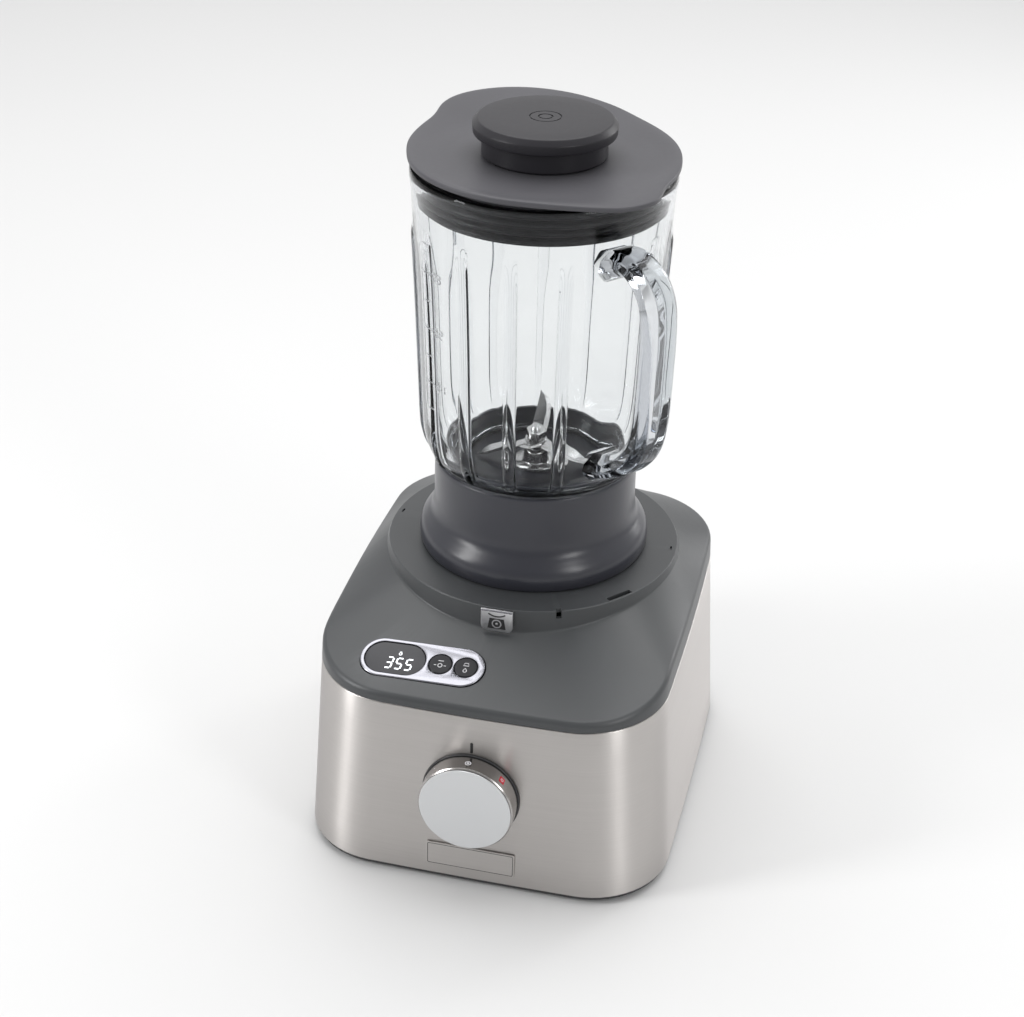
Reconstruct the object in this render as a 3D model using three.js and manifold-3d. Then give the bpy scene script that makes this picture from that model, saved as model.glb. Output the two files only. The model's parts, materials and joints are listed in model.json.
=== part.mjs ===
// Countertop blender: a weighing power base with a belt drive, and a glass jug on a screw-in blade unit.
// Millimetres, +Z up, front towards -Y. The origin is on the standing surface, under the middle of the
// whole part's box.

import * as THREE from 'three';
import { mergeVertices } from 'three/addons/utils/BufferGeometryUtils.js';
import Module from 'manifold-3d';

const wasm = await Module();
wasm.setup();

// ---- Driving dimensions ----

const gap = 0.3; // between pieces that touch

const baseWidth = 210; // outline of the case at its lower edge
const baseDepth = 242;
const seamWidth = 197.4; // outline at the seam between the wrap and the cover
const seamFront = -119.2;
const seamRear = 113;
const caseRadius = 44; // vertical corners of the case
const caseBottom = 5; // lower edge of the wrap
const seamHeight = 117.3;
const seamTilt = 0.03; // the seam climbs this much per millimetre towards the rear
const wallThickness = 2.5;
const wrapThickness = 1.2;
const wrapEnd = 92; // the steel wraps round to here, and the rear panel closes the back

const axisY = 17; // the drive and the jug share a vertical axis here
const platformRadius = 83.2;
const platformTop = 149.9;
const wellRadius = 46; // opening in the platform for the seat insert

const motorX = -38;
const motorY = -42;
const motorPulleyRadius = 9;
const drivePulleyRadius = 36;
const beltThickness = 2;
const pulleyBottom = 9;
const pulleyHeight = 12;
const bracketBottom = 24;
const bracketThickness = 3;
const shaftRadius = 5;
const couplingBottom = 150.5;
const couplingHeight = 13;
const couplingRadius = 12;

const inletX = 62; // where the supply lead enters the rear panel
const inletZ = 22;

const footX = 74; // rubber feet, each under a load cell
const footFront = -88;
const footRear = 90;
const footPlaces = [[-footX, footFront], [footX, footFront], [-footX, footRear], [footX, footRear]];
const cornerNames = ['front_left', 'front_right', 'rear_left', 'rear_right'];

const dialRadius = 26.5;
const dialHeight = 63; // of its centre above the table
const dialProud = 13.7;

const displayX = -34.5; // middle of the display and its two buttons
const displayY = -94.8;
const displayZ = 126.9;
const displayPitch = 20; // degrees that the display leans back from flat
const displayRoll = 1.4;
const displayLength = 69.5;
const displayWidth = 25;
const lensX = -15.3; // places along the display
const lensLength = 34.4;
const lensWidth = 20.9;
const buttonPlaces = { zero_button: 10.2, unit_button: 24.4 };
const buttonRadius = 6.4;

const pinReach = 63.6; // of the interlock pin from the drive axis, under the collar's rim
const collarBottom = 150.8;
const collarTop = 204.2;
const glassBottom = 195.8;
const jugTop = 374.5;
const handleAngle = -42.5; // degrees from +X, seen from above
const lidBottom = 375.2;
const lidTop = 379.7;
const capTop = 400;
const capRadius = 38;

const ringSteps = 24; // facets round a large turned piece
const jugSteps = 32;

// ---- Materials ----

function finish(color, roughness, metalness = 0) {
  return new THREE.MeshStandardMaterial({ color, roughness, metalness });
}

const steel = finish(0xb9b5b0, 0.35, 1);
const satinMetal = finish(0xd9dcde, 0.3, 1);
const machinedSteel = finish(0x9a9a98, 0.4, 1);
const copper = finish(0xa5623a, 0.45, 1);
const greyPlastic = finish(0x58585c, 0.45);
const collarPlastic = finish(0x454750, 0.35);
const lidPlastic = finish(0x66656a, 0.4);
const darkPlastic = finish(0x232326, 0.5);
const rubber = finish(0x1c1c1e, 0.85);
const board = finish(0x2f5d3a, 0.6);
const window = finish(0x24242b, 0.1);
const clearGlass = new THREE.MeshStandardMaterial({
  color: 0xe6ecec,
  roughness: 0.05,
  transparent: true,
  opacity: 0.35,
});

// ---- Geometry helpers ----

const lerp = THREE.MathUtils.lerp;
const rad = THREE.MathUtils.degToRad;

function positionsOnly(geometry) {
  const bare = geometry.clone();
  bare.deleteAttribute('normal');
  bare.deleteAttribute('uv');
  return mergeVertices(bare, 1e-4);
}

function toSolid(geometry) {
  const merged = positionsOnly(geometry);
  const corners = merged.index.array;
  const kept = [];
  for (let i = 0; i < corners.length; i += 3) {
    const [a, b, c] = [corners[i], corners[i + 1], corners[i + 2]];
    if (a !== b && b !== c && c !== a) kept.push(a, b, c);
  }
  const mesh = new wasm.Mesh({
    numProp: 3,
    vertProperties: new Float32Array(merged.attributes.position.array),
    triVerts: new Uint32Array(kept),
  });
  return new wasm.Manifold(mesh);
}

function toGeometry(solid) {
  const mesh = solid.getMesh();
  const geometry = new THREE.BufferGeometry();
  geometry.setAttribute('position', new THREE.BufferAttribute(mesh.vertProperties, 3));
  geometry.setIndex(new THREE.BufferAttribute(mesh.triVerts, 1));
  return geometry;
}

function cut(geometry, ...tools) {
  return toGeometry(tools.reduce((solid, tool) => solid.subtract(toSolid(tool)), toSolid(geometry)));
}

function join(geometry, ...others) {
  return toGeometry(others.reduce((solid, other) => solid.add(toSolid(other)), toSolid(geometry)));
}

function common(geometry, other) {
  return toGeometry(toSolid(geometry).intersect(toSolid(other)));
}

// A turned piece about Z from [radius, height] points, listed counter-clockwise.
function turned(profile, steps = ringSteps) {
  const points = profile.map(([radius, height]) => new THREE.Vector2(radius, height));
  return new THREE.LatheGeometry(points, steps).rotateX(Math.PI / 2);
}

function disc(radius, bottom, top, steps = ringSteps) {
  return turned([[0, bottom], [radius, bottom], [radius, top], [0, top]], steps);
}

function tube(outer, inner, bottom, top, steps = ringSteps) {
  return turned([[inner, bottom], [outer, bottom], [outer, top], [inner, top], [inner, bottom]], steps);
}

function box(width, depth, height, x = 0, y = 0, z = 0) {
  return new THREE.BoxGeometry(width, depth, height).translate(x, y, z);
}

function extruded(shape, bottom, top, curveSegments = 8) {
  const settings = { depth: top - bottom, bevelEnabled: false, curveSegments };
  return new THREE.ExtrudeGeometry(shape, settings).translate(0, 0, bottom);
}

function stadium(length, width) {
  const radius = width / 2;
  const reach = length / 2 - radius;
  const shape = new THREE.Shape();
  shape.absarc(reach, 0, radius, -Math.PI / 2, Math.PI / 2);
  shape.absarc(-reach, 0, radius, Math.PI / 2, Math.PI * 1.5);
  shape.closePath();
  return shape;
}

function circleHole(shape, x, y, radius) {
  shape.holes.push(new THREE.Path().absarc(x, y, radius, 0, Math.PI * 2, true));
}

// A closed skin over rings of points, each counter-clockwise seen from above and each with as many
// points. An open stack is capped at its first and last ring, and a looped one runs back to its first.
function loft(rings, looped = false) {
  const count = rings[0].length;
  const positions = rings.flat().flatMap((point) => point.toArray());
  const index = [];
  const pairs = looped ? rings.length : rings.length - 1;
  for (let ring = 0; ring < pairs; ring++) {
    const low = ring * count;
    const high = ((ring + 1) % rings.length) * count;
    for (let i = 0; i < count; i++) {
      const next = (i + 1) % count;
      index.push(low + i, low + next, high + next);
      index.push(low + i, high + next, high + i);
    }
  }
  if (!looped) {
    const flat = (ring) => ring.map((point) => new THREE.Vector2(point.x, point.y));
    const top = (rings.length - 1) * count;
    for (const [a, b, c] of THREE.ShapeUtils.triangulateShape(flat(rings[0]), [])) {
      index.push(a, c, b);
    }
    for (const [a, b, c] of THREE.ShapeUtils.triangulateShape(flat(rings.at(-1)), [])) {
      index.push(top + a, top + b, top + c);
    }
  }
  const geometry = new THREE.BufferGeometry();
  geometry.setAttribute('position', new THREE.Float32BufferAttribute(positions, 3));
  geometry.setIndex(index);
  return geometry;
}

function part(name, geometry, material) {
  const mesh = new THREE.Mesh(geometry, material.clone());
  mesh.name = name;
  return mesh;
}

function group(x, y, z, ...children) {
  const holder = new THREE.Group();
  holder.position.set(x, y, z);
  holder.add(...children);
  return holder;
}

// ---- The case outline ----

// Points of the case outline, set in from the outside by `inset`. Level 0 is the table and 1 the seam.
function caseOutline(level, inset) {
  const halfWidth = lerp(baseWidth, seamWidth, level) / 2 - inset;
  const front = lerp(-baseDepth / 2, seamFront, level) + inset;
  const rear = lerp(baseDepth / 2, seamRear, level) - inset;
  const halfDepth = (rear - front) / 2;
  const middle = (rear + front) / 2;
  const radius = caseRadius - inset;
  const bow = lerp(1.5, 3, level);
  const cornerSteps = 4;
  const sideSteps = 3;
  const points = [];
  for (const [sideX, sideY, start] of [[1, -1, -90], [1, 1, 0], [-1, 1, 90], [-1, -1, 180]]) {
    const centreX = sideX * (halfWidth - radius);
    const centreY = sideY * (halfDepth - radius);
    for (let i = 0; i <= cornerSteps; i++) {
      const angle = rad(start + (90 * i) / cornerSteps);
      points.push([centreX + radius * Math.cos(angle), centreY + radius * Math.sin(angle)]);
    }
    const [fromX, fromY] = points.at(-1);
    const [toX, toY] = sideX === sideY ? [-fromX, fromY] : [fromX, -fromY];
    for (let i = 1; i <= sideSteps; i++) {
      const share = i / (sideSteps + 1);
      points.push([lerp(fromX, toX, share), lerp(fromY, toY, share)]);
    }
  }
  return points.map(([x, y]) => {
    const bowX = Math.sign(x) * bow * (y / halfDepth) ** 2;
    const bowY = Math.sign(y) * bow * (x / halfWidth) ** 2;
    return new THREE.Vector3(x - bowX, y - bowY + middle, 0);
  });
}

function seamAt(y) {
  return seamHeight + seamTilt * y;
}

// A ring of the case outline, flat at a height or just off the seam.
function flatRing(height, inset) {
  const level = height / seamHeight;
  return caseOutline(level, inset).map((point) => point.setZ(height));
}

function seamRing(offset, inset) {
  return caseOutline(1, inset).map((point) => point.setZ(seamAt(point.y) + offset));
}

function caseShell(thickness) {
  const rings = [
    flatRing(caseBottom, 0),
    seamRing(-gap / 2, 0),
    seamRing(-gap / 2, thickness),
    flatRing(caseBottom, thickness),
  ];
  return loft(rings, true);
}

const frontLean = Math.atan2(seamFront + baseDepth / 2, seamHeight);

function frontAt(height) {
  return -baseDepth / 2 + height * Math.tan(frontLean);
}

// ---- Case ----

function makeWrap() {
  const frontHalf = box(300, 300, 300, 0, wrapEnd - 150, 100);
  const shaftHole = disc(6, -10, 10, 24).rotateX(Math.PI / 2).translate(0, frontAt(dialHeight), dialHeight);
  const shell = common(caseShell(wrapThickness), frontHalf);
  return part('metal_wrap', cut(shell, shaftHole), steel);
}

function makeRearPanel() {
  const rearHalf = box(300, 300, 300, 0, wrapEnd + gap + 150, 100);
  const shell = common(caseShell(wallThickness), rearHalf);
  const rearY = baseDepth / 2 - 4;
  const tools = [];
  for (let row = 0; row < 6; row++) {
    for (const side of [-1, 1]) tools.push(box(30, 30, 3, side * 22, rearY, 58 + row * 8));
  }
  const inletHole = disc(7 + gap, -15, 15, 20).rotateX(Math.PI / 2).translate(inletX, rearY, inletZ);
  return part('rear_panel', cut(shell, ...tools, inletHole), greyPlastic);
}

// The flanged bush that the supply lead comes through.
function makeCordInlet() {
  const bush = turned([[4, -6], [7, -6], [7, 3.4], [9.5, 3.4], [9.5, 5], [4, 5], [4, -6]], 16);
  const rearY = baseDepth / 2 - 3.9;
  return part('cord_inlet', bush.rotateX(-Math.PI / 2).translate(inletX, rearY, inletZ), rubber);
}

// The moulded floor, with its rim showing as a dark skirt under the steel.
function makeBasePlate() {
  const skirt = loft([flatRing(2, 1.6), flatRing(caseBottom - gap, 0.6)]);
  const locating = [
    flatRing(caseBottom - gap - 0.5, wallThickness + 0.4),
    flatRing(12, wallThickness + 0.4),
    flatRing(12, wallThickness + 2.4),
    flatRing(caseBottom - gap - 0.5, wallThickness + 2.4),
  ];
  const pockets = footPlaces.map(([x, y]) => disc(12.4, -1, 3.5, 12).translate(x, y, 0));
  const bosses = footPlaces.map(([x, y]) => tube(15.5, 13, 4, 8, 12).translate(x, y, 0));
  const body = join(skirt, loft(locating, true), ...bosses);
  return part('base_plate', cut(body, ...pockets), darkPlastic);
}

function makeFeet() {
  return footPlaces.flatMap(([x, y], i) => {
    const foot = turned([[0, 0], [10.5, 0], [11.6, 1], [12, 3.2], [0, 3.2]], 12).translate(x, y, 0);
    const cell = join(disc(9, 8.3, 9.8, 12), box(26, 8, 1.5, 0, 0, 9.05)).translate(x, y, 0);
    const corner = cornerNames[i];
    return [part(`foot_${corner}`, foot, rubber), part(`load_cell_${corner}`, cell, steel)];
  });
}

// ---- Cover ----

// The height of the platform's wall: tallest at the front, where the cover falls away in front of it.
function wallHeight(forward) {
  return 3.4 + 10 * Math.max(0, forward) ** 2;
}

// Rise of the cover's shoulder above the seam: low at the front, higher along the sides and the back.
function shoulderRise(y) {
  return lerp(5.5, 13.5, THREE.MathUtils.smoothstep(y, seamFront, -60));
}

// One station per outline point: the seam edge, the shoulder, the slope up to the platform, and its wall.
function coverStation(edge) {
  const outward = new THREE.Vector2(edge.x, edge.y - axisY);
  const reach = outward.length();
  outward.normalize();
  const seam = seamAt(edge.y);
  const shoulder = seam + shoulderRise(edge.y);
  const wall = wallHeight(-outward.y);
  const foot = platformTop - wall;
  const footRadius = platformRadius + 1.3;
  const slope = (radius) => lerp(foot, shoulder, (radius - footRadius) / (reach - 3 - footRadius));
  const at = (radius, height) => {
    return new THREE.Vector3(outward.x * radius, axisY + outward.y * radius, height);
  };
  const rise = shoulder - seam;
  return [
    at(reach, seam + gap / 2),
    at(reach - 0.3, seam + 0.55 * rise),
    at(reach - 1.1, seam + 0.86 * rise),
    at(reach - 3, shoulder),
    at(footRadius + 2.5, slope(footRadius + 2.5) + 0.1),
    at(footRadius, foot + 0.3 * wall),
    at(platformRadius + 0.4, platformTop - 0.8),
    at(platformRadius - 0.6, platformTop),
    at(wellRadius, platformTop),
    at(wellRadius, platformTop - wallThickness),
    at(platformRadius - 2, platformTop - wallThickness),
    at(footRadius - 1.5, foot - wallThickness),
    at(reach - 4.5, shoulder - wallThickness - 0.6),
    at(reach - wallThickness - 0.6, seam + 0.5 * rise),
    at(reach - wallThickness, seam + gap / 2),
  ];
}

function makeCover() {
  const stations = caseOutline(1, 0).map(coverStation);
  const rings = stations[0].map((_, ring) => stations.map((station) => station[ring]));
  const opening = onDisplay(extruded(stadium(displayLength + 2 * gap, displayWidth + 2 * gap), -12, 10));
  const slotAngle = rad(-40.5);
  const slot = box(3, 16, 12).rotateZ(slotAngle);
  slot.translate(80.2 * Math.cos(slotAngle), axisY + 80.2 * Math.sin(slotAngle), platformTop);
  const pinHole = disc(2.1, 140, 160, 12).translate(-pinReach, axisY, 0);
  return part('top_cover', cut(loft(rings, true), opening, slot, pinHole), greyPlastic);
}

// The insert that the jug's blade unit sits on, with the bayonet lugs round its rim.
function makeSeat() {
  const rim = wellRadius - 3 * gap;
  const dish = turned([
    [17.5, 140], [42, 140], [42, 146.4], [rim, 146.4], [rim, platformTop - 0.6], [39, platformTop - 0.6],
    [39, 142.5], [20, 142.5], [20, 149], [17.5, 149], [17.5, 140],
  ]);
  const lugs = [0, 120, 240].map((angle) => {
    return box(4, 14, 3, 38, 0, 147.5).rotateZ(rad(angle));
  });
  return part('jug_seat', join(dish, ...lugs).translate(0, axisY, 0), darkPlastic);
}

// A fold-flat badge on the front of the platform.
function makeBadge() {
  const outline = new THREE.Shape();
  outline.moveTo(-9, 7);
  outline.lineTo(-9, -2.5);
  outline.quadraticCurveTo(-8.8, -6.6, -5, -6.8);
  outline.lineTo(5, -6.8);
  outline.quadraticCurveTo(8.8, -6.6, 9, -2.5);
  outline.lineTo(9, 7);
  outline.closePath();
  const plate = extruded(outline, 0, 1.4, 4).rotateX(Math.PI / 2);
  const wallY = axisY - platformRadius - 3.1;
  return part('scale_badge', plate.translate(0.5, wallY, 144.6), satinMetal);
}

// ---- Display ----

function onDisplay(geometry) {
  geometry.rotateY(rad(-displayRoll)).rotateX(rad(displayPitch));
  return geometry.translate(displayX, displayY, displayZ);
}

const bezelTop = 0.9;
const bezelDepth = 5.6;
const buttonTop = 1.2;
const boardTop = -10;

function makeDisplay() {
  const frame = extruded(stadium(displayLength, displayWidth), bezelTop - bezelDepth, bezelTop);
  const lensHole = extruded(stadium(lensLength, lensWidth), -20, 20).translate(lensX, 0, 0);
  const buttonHoles = Object.values(buttonPlaces).map((x) => {
    return disc(buttonRadius + gap, -20, 20, 20).translate(x, 0, 0);
  });
  const lens = extruded(stadium(lensLength - 2 * gap, lensWidth - 2 * gap), -2, 0.4).translate(lensX, 0, 0);
  const plate = extruded(stadium(displayLength - 4, displayWidth - 3), boardTop - 1.6, boardTop);
  const pieces = [
    part('display_bezel', onDisplay(cut(frame, lensHole, ...buttonHoles)), satinMetal),
    part('display_lens', onDisplay(lens), window),
    part('display_board', onDisplay(plate), board),
  ];
  for (const [name, x] of Object.entries(buttonPlaces)) {
    const skirtTop = bezelTop - bezelDepth - gap;
    const stem = turned([
      [0, skirtTop - 1.5], [6.9, skirtTop - 1.5], [6.9, skirtTop], [buttonRadius, skirtTop],
      [buttonRadius, buttonTop], [0, buttonTop],
    ], 20);
    const tact = join(box(6, 6, 1.8, 0, 0, boardTop + gap + 0.9), disc(1.6, boardTop + 1, boardTop + 2.4, 8));
    pieces.push(part(name, onDisplay(stem.translate(x, 0, 0)), darkPlastic));
    pieces.push(part(name.replace('button', 'switch'), onDisplay(tact.translate(x, 0, 0)), darkPlastic));
  }
  return pieces;
}

// ---- Speed dial, on the front wall; its own +Z points out of the wall ----

function makeDial() {
  const switchTop = -wrapThickness - 1;
  const knob = turned([
    [3.2, 2.6], [7, 2.6], [7, 10.4], [dialRadius - 2.2, 10.4], [dialRadius - 2.2, 2], [dialRadius, 2],
    [dialRadius, dialProud - 1.6], [dialRadius - 0.6, dialProud - 0.9], [3.2, dialProud - 0.9], [3.2, 2.6],
  ]);
  const neck = turned([
    [3.3, -22], [14, -22], [14, switchTop], [4.8, switchTop], [4.8, 0.9], [3.3, 0.9], [3.3, -22],
  ], 24);
  const flat = box(10, 4, 12, 0, 4.2, 8);
  const dial = group(
    0, frontAt(dialHeight), dialHeight,
    part('dial_ring', tube(dialRadius + 1, 5.2, gap, 1.7), darkPlastic),
    part('speed_dial', knob, satinMetal),
    part('dial_cap', disc(dialRadius - 0.9, dialProud - 0.6, dialProud), satinMetal),
    part('dial_shaft', cut(disc(2.9, -20, dialProud - 1.2, 20), flat), machinedSteel),
    part('dial_switch', neck, darkPlastic),
  );
  dial.rotation.x = Math.PI / 2 - frontLean;
  return dial;
}

function makeNamePlate() {
  const plate = box(50.5, 0.8, 15.4);
  plate.rotateX(-frontLean).translate(0.3, frontAt(19.5) - 0.4 - gap, 19.5);
  return part('name_plate', plate, satinMetal);
}

// ---- Drive train inside the base ----

function beltLine(offset) {
  const span = Math.hypot(motorX, motorY - axisY);
  const small = motorPulleyRadius + offset;
  const large = drivePulleyRadius + offset;
  const wrap = Math.acos((large - small) / span);
  const shape = new THREE.Shape();
  shape.absarc(0, 0, large, wrap, Math.PI * 2 - wrap);
  shape.absarc(span, 0, small, -wrap, wrap);
  shape.closePath();
  return shape;
}

function makeBelt() {
  const outline = beltLine(gap + beltThickness);
  outline.holes.push(new THREE.Path(beltLine(gap).getPoints(10).reverse()));
  const belt = extruded(outline, pulleyBottom + 2, pulleyBottom + pulleyHeight - 2, 10);
  belt.rotateZ(Math.atan2(motorY - axisY, motorX)).translate(0, axisY, 0);
  return part('drive_belt', belt, rubber);
}

function flangedPulley(radius, bore, steps) {
  const top = pulleyBottom + pulleyHeight;
  return turned([
    [bore, pulleyBottom], [radius + 1.6, pulleyBottom], [radius + 1.6, pulleyBottom + 1.2],
    [radius, pulleyBottom + 1.6], [radius, top - 1.6], [radius + 1.6, top - 1.2], [radius + 1.6, top],
    [bore, top], [bore, pulleyBottom],
  ], steps);
}

function makeMotor() {
  const motorBottom = bracketBottom + bracketThickness + gap;
  const top = pulleyBottom + pulleyHeight;
  const core = cut(
    disc(34, motorBottom, motorBottom + 52, 24),
    disc(23.6, motorBottom + 4, motorBottom + 60, 24),
    disc(6, 0, 60, 20),
  );
  const armature = turned([
    [4.1, 32], [22.5, 32], [22.5, 74], [12, 74], [12, 88], [4.1, 88], [4.1, 32],
  ], 24);
  const blades = [];
  for (let i = 0; i < 8; i++) blades.push(box(20, 1.4, 9, 18, 0, 94.5).rotateZ(rad(45 * i)));
  const fan = join(tube(30, 4.1, 90, 91.4, 20), tube(9, 4.1, 90, 99, 20), ...blades);
  return group(
    motorX, motorY, 0,
    part('motor_stator', core, machinedSteel),
    part('motor_armature', armature, copper),
    part('motor_shaft', disc(4, top - 11, 104, 16), machinedSteel),
    part('cooling_fan', fan, darkPlastic),
    part('motor_pulley', flangedPulley(motorPulleyRadius, 4.1, 16), machinedSteel),
  );
}

function makeBracket() {
  const top = bracketBottom + bracketThickness;
  const plate = new THREE.Shape([
    [-84, -84], [40, -84], [62, -30], [62, 62], [-50, 62], [-84, 20],
  ].map(([x, y]) => new THREE.Vector2(x, y)));
  circleHole(plate, motorX, motorY, 7);
  circleHole(plate, 0, axisY, 11.3);
  const posts = [[-76, -70], [40, -70], [52, 50], [-44, 50]].map(([x, y]) => {
    return tube(5, 2, 12.5, bracketBottom + 0.1, 8).translate(x, y, 0);
  });
  const tower = tube(15, 11.3, top - 0.1, 134, 16).translate(0, axisY, 0);
  return part('motor_bracket', join(extruded(plate, bracketBottom, top), tower, ...posts), machinedSteel);
}

function makeDriveShaft() {
  const lobes = new THREE.Shape();
  const points = 36;
  for (let i = 0; i < points; i++) {
    const angle = (i / points) * Math.PI * 2;
    const radius = couplingRadius - 1.5 + 1.5 * Math.cos(6 * angle);
    lobes[i ? 'lineTo' : 'moveTo'](radius * Math.cos(angle), radius * Math.sin(angle));
  }
  circleHole(lobes, 0, 0, shaftRadius + 0.1);
  const bearing = () => tube(11, shaftRadius + 0.1, 0, 7, 16);
  return group(
    0, axisY, 0,
    part('drive_shaft', disc(shaftRadius, 8, couplingBottom + couplingHeight - 1, 16), machinedSteel),
    part('drive_pulley', flangedPulley(drivePulleyRadius, shaftRadius + 0.1, 24), machinedSteel),
    part('drive_coupling', extruded(lobes, couplingBottom, couplingBottom + couplingHeight), darkPlastic),
    part('lower_bearing', bearing().translate(0, 0, 28), machinedSteel),
    part('upper_bearing', bearing().translate(0, 0, 124), machinedSteel),
  );
}

function makeElectronics() {
  const pin = turned([
    [0, 124], [4, 124], [4, 127], [1.5, 127], [1.5, collarBottom - 0.5], [0, collarBottom - 0.5],
  ], 12);
  return [
    part('power_board', box(70, 1.6, 46, 24, 88, 66), board),
    part('interlock_pin', pin.translate(-pinReach, axisY, 0), darkPlastic),
    part('interlock_switch', box(20, 6.4, 10, -pinReach, axisY, 117), darkPlastic),
  ];
}

// ---- Blade unit ----

function makeBladeUnit() {
  const floor = 190;
  const floorTop = 193.2;
  const collar = turned([
    [62, collarBottom], [64.6, collarBottom], [65.4, 154], [65.3, 158.5], [64, 162.5], [61.4, 166.2],
    [58.9, 169.6], [57.6, 174], [57, collarTop - 0.6], [56.4, collarTop], [53.8, collarTop], [53.8, floorTop],
    [11.3, floorTop], [11.3, floor], [51, floor], [54, 172], [58, 163.5], [61, 157], [62, collarBottom],
  ]);
  const bush = turned([
    [4.1, 172], [11, 172], [11, floorTop + gap], [17, floorTop + gap], [17, 196.6], [9, 197.6], [8, 206],
    [4.1, 206], [4.1, 172],
  ], 24);
  const cup = cut(
    turned([[0, 151.5], [18.5, 151.5], [18.5, 166.5], [9, 171.5], [0, 171.5]], 28),
    disc(couplingRadius + 1.6, 150, couplingBottom + couplingHeight + gap, 28),
    disc(4.1, 160, 175, 16),
  );
  const shaft = disc(4, couplingBottom + couplingHeight + 1, 221, 16);
  return group(
    0, axisY, 0,
    part('blade_collar', collar, collarPlastic),
    part('jug_seal', tube(53.2, 45.5, floorTop + gap, 195.4), rubber),
    part('blade_bush', bush, machinedSteel),
    part('driven_coupling', cup, darkPlastic),
    part('blade_shaft', shaft, machinedSteel),
    part('lower_blade', makeBlade(208.3, -1, 34), steel),
    part('upper_blade', makeBlade(211.6, 1, 31).rotateZ(Math.PI / 2), steel),
    part('blade_nut', makeNut(), machinedSteel),
  );
}

// A two-armed cutter with its arms bent up or down from the flat hub.
function makeBlade(height, bend, reach) {
  const hub = tube(8, 4.6, height, height + 1.6, 16);
  const arms = [0, Math.PI].map((turn) => {
    const outline = new THREE.Shape();
    outline.moveTo(-2, -6);
    outline.lineTo(reach - 12, -6);
    outline.quadraticCurveTo(reach - 2, -4, reach, 4);
    outline.lineTo(-2, 6);
    outline.closePath();
    const arm = extruded(outline, 0, 1.6, 4).rotateY(-bend * rad(24));
    return arm.translate(7.4, 0, height).rotateZ(turn);
  });
  return join(hub, ...arms);
}

function makeNut() {
  const hex = new THREE.Shape();
  for (let i = 0; i < 6; i++) {
    const angle = (i / 6) * Math.PI * 2;
    hex[i ? 'lineTo' : 'moveTo'](7.5 * Math.cos(angle), 7.5 * Math.sin(angle));
  }
  circleHole(hex, 0, 0, 4.1);
  return extruded(hex, 213.8, 218.5);
}

// ---- Glass jug ----

function makeHandle() {
  const path = new THREE.CatmullRomCurve3([
    [64, 343], [79, 347.5], [92, 344], [101, 334], [103.5, 318], [103, 290], [101.5, 266], [97, 251],
    [87, 239], [74, 230], [59, 225],
  ].map(([radius, height]) => new THREE.Vector3(radius, 0, height)));
  const section = new THREE.Shape([
    [-10, -2.5], [-6, -6.5], [6, -6.5], [10, -2.5], [10, 2.5], [6, 6.5], [-6, 6.5], [-10, 2.5],
  ].map(([x, y]) => new THREE.Vector2(y, x)));
  const settings = { steps: 20, bevelEnabled: false, extrudePath: path };
  return new THREE.ExtrudeGeometry(section, settings).rotateZ(rad(handleAngle));
}

function makeJug() {
  const outside = [
    [52.6, glassBottom], [52.6, 204.8], [57.6, 206.2], [60.6, 211.5], [64.2, 228], [65.1, 252], [67, 304],
    [69.9, 362], [70.6, 368], [70.6, jugTop],
  ];
  const inside = [
    [67, jugTop], [66.2, 362], [63.2, 304], [61.2, 252], [59.8, 228], [57, 216], [47, 204.6],
    [46, glassBottom], [52.6, glassBottom],
  ];
  const room = outside.map(([radius, height]) => [radius + gap, height]);
  const seat = turned([[0, glassBottom], ...room, [0, jugTop]], jugSteps);
  return group(
    0, axisY, 0,
    part('glass_jug', turned([...outside, ...inside], jugSteps), clearGlass),
    part('jug_handle', cut(makeHandle(), seat), clearGlass),
  );
}

// ---- Lid and filler cap ----

// The lid's edge as [angle, radius]: a pouring lip opposite the handle, and a thumb tab over it.
const lidEdge = [
  [-150, 70.5], [-125, 69.2], [-100, 68.8], [-82, 69.6], [-70, 72.3], [-60, 76.5], [-50, 81.8], [-42, 83.2],
  [-34, 82.2], [-27, 77.3], [-20, 73.4], [-8, 72], [13, 72], [39, 75.4], [61, 80], [78, 87.3], [95, 94],
  [110, 98], [122, 98.5], [133, 96], [141, 91], [150, 82.5], [160, 78.5], [180, 74.3], [193, 72],
];

function makeLid() {
  const corners = lidEdge.map(([angle, radius]) =>
    new THREE.Vector3(radius * Math.cos(rad(angle)), radius * Math.sin(rad(angle)), 0));
  const edge = new THREE.CatmullRomCurve3(corners, true).getSpacedPoints(54).slice(0, -1);
  const outline = new THREE.Shape(edge.map(({ x, y }) => new THREE.Vector2(x, y)));
  circleHole(outline, 0, 0, 31);
  const skirt = tube(60.4, 57.6, 354.8, lidBottom + 0.1);
  const neck = tube(33.6, 31, 366, lidBottom + 0.1);
  const rings = [357, 365].map((height) => [[63.8, height], [65.6, height + 2.5], [63.8, height + 5]]);
  const seal = turned([
    [60.7, 354.4], [63.2, 354.4], ...rings.flat(), [63.8, 372], [60.7, 372], [60.7, 354.4],
  ]);
  const cap = turned([
    [26, 356], [28.5, 356], [30.6, 362], [30.6, lidTop], [32.6, lidTop + 2], [33, 390.5], [capRadius, 392],
    [capRadius, 397.6], [capRadius - 2, capTop - 0.4], [capRadius - 5, capTop], [0, capTop],
    [0, capTop - 3], [28, capTop - 3], [28, 364], [26, 356],
  ]);
  return group(
    0, axisY, 0,
    part('lid', join(extruded(outline, lidBottom, lidTop, 12), skirt, neck), lidPlastic),
    part('lid_seal', seal, rubber),
    part('filler_cap', cap, lidPlastic),
  );
}

// ---- Assembly ----

// The dial stands out in front, so the case sits back by this much to centre the part on its origin.
const dialOverhang = 6;

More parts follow.
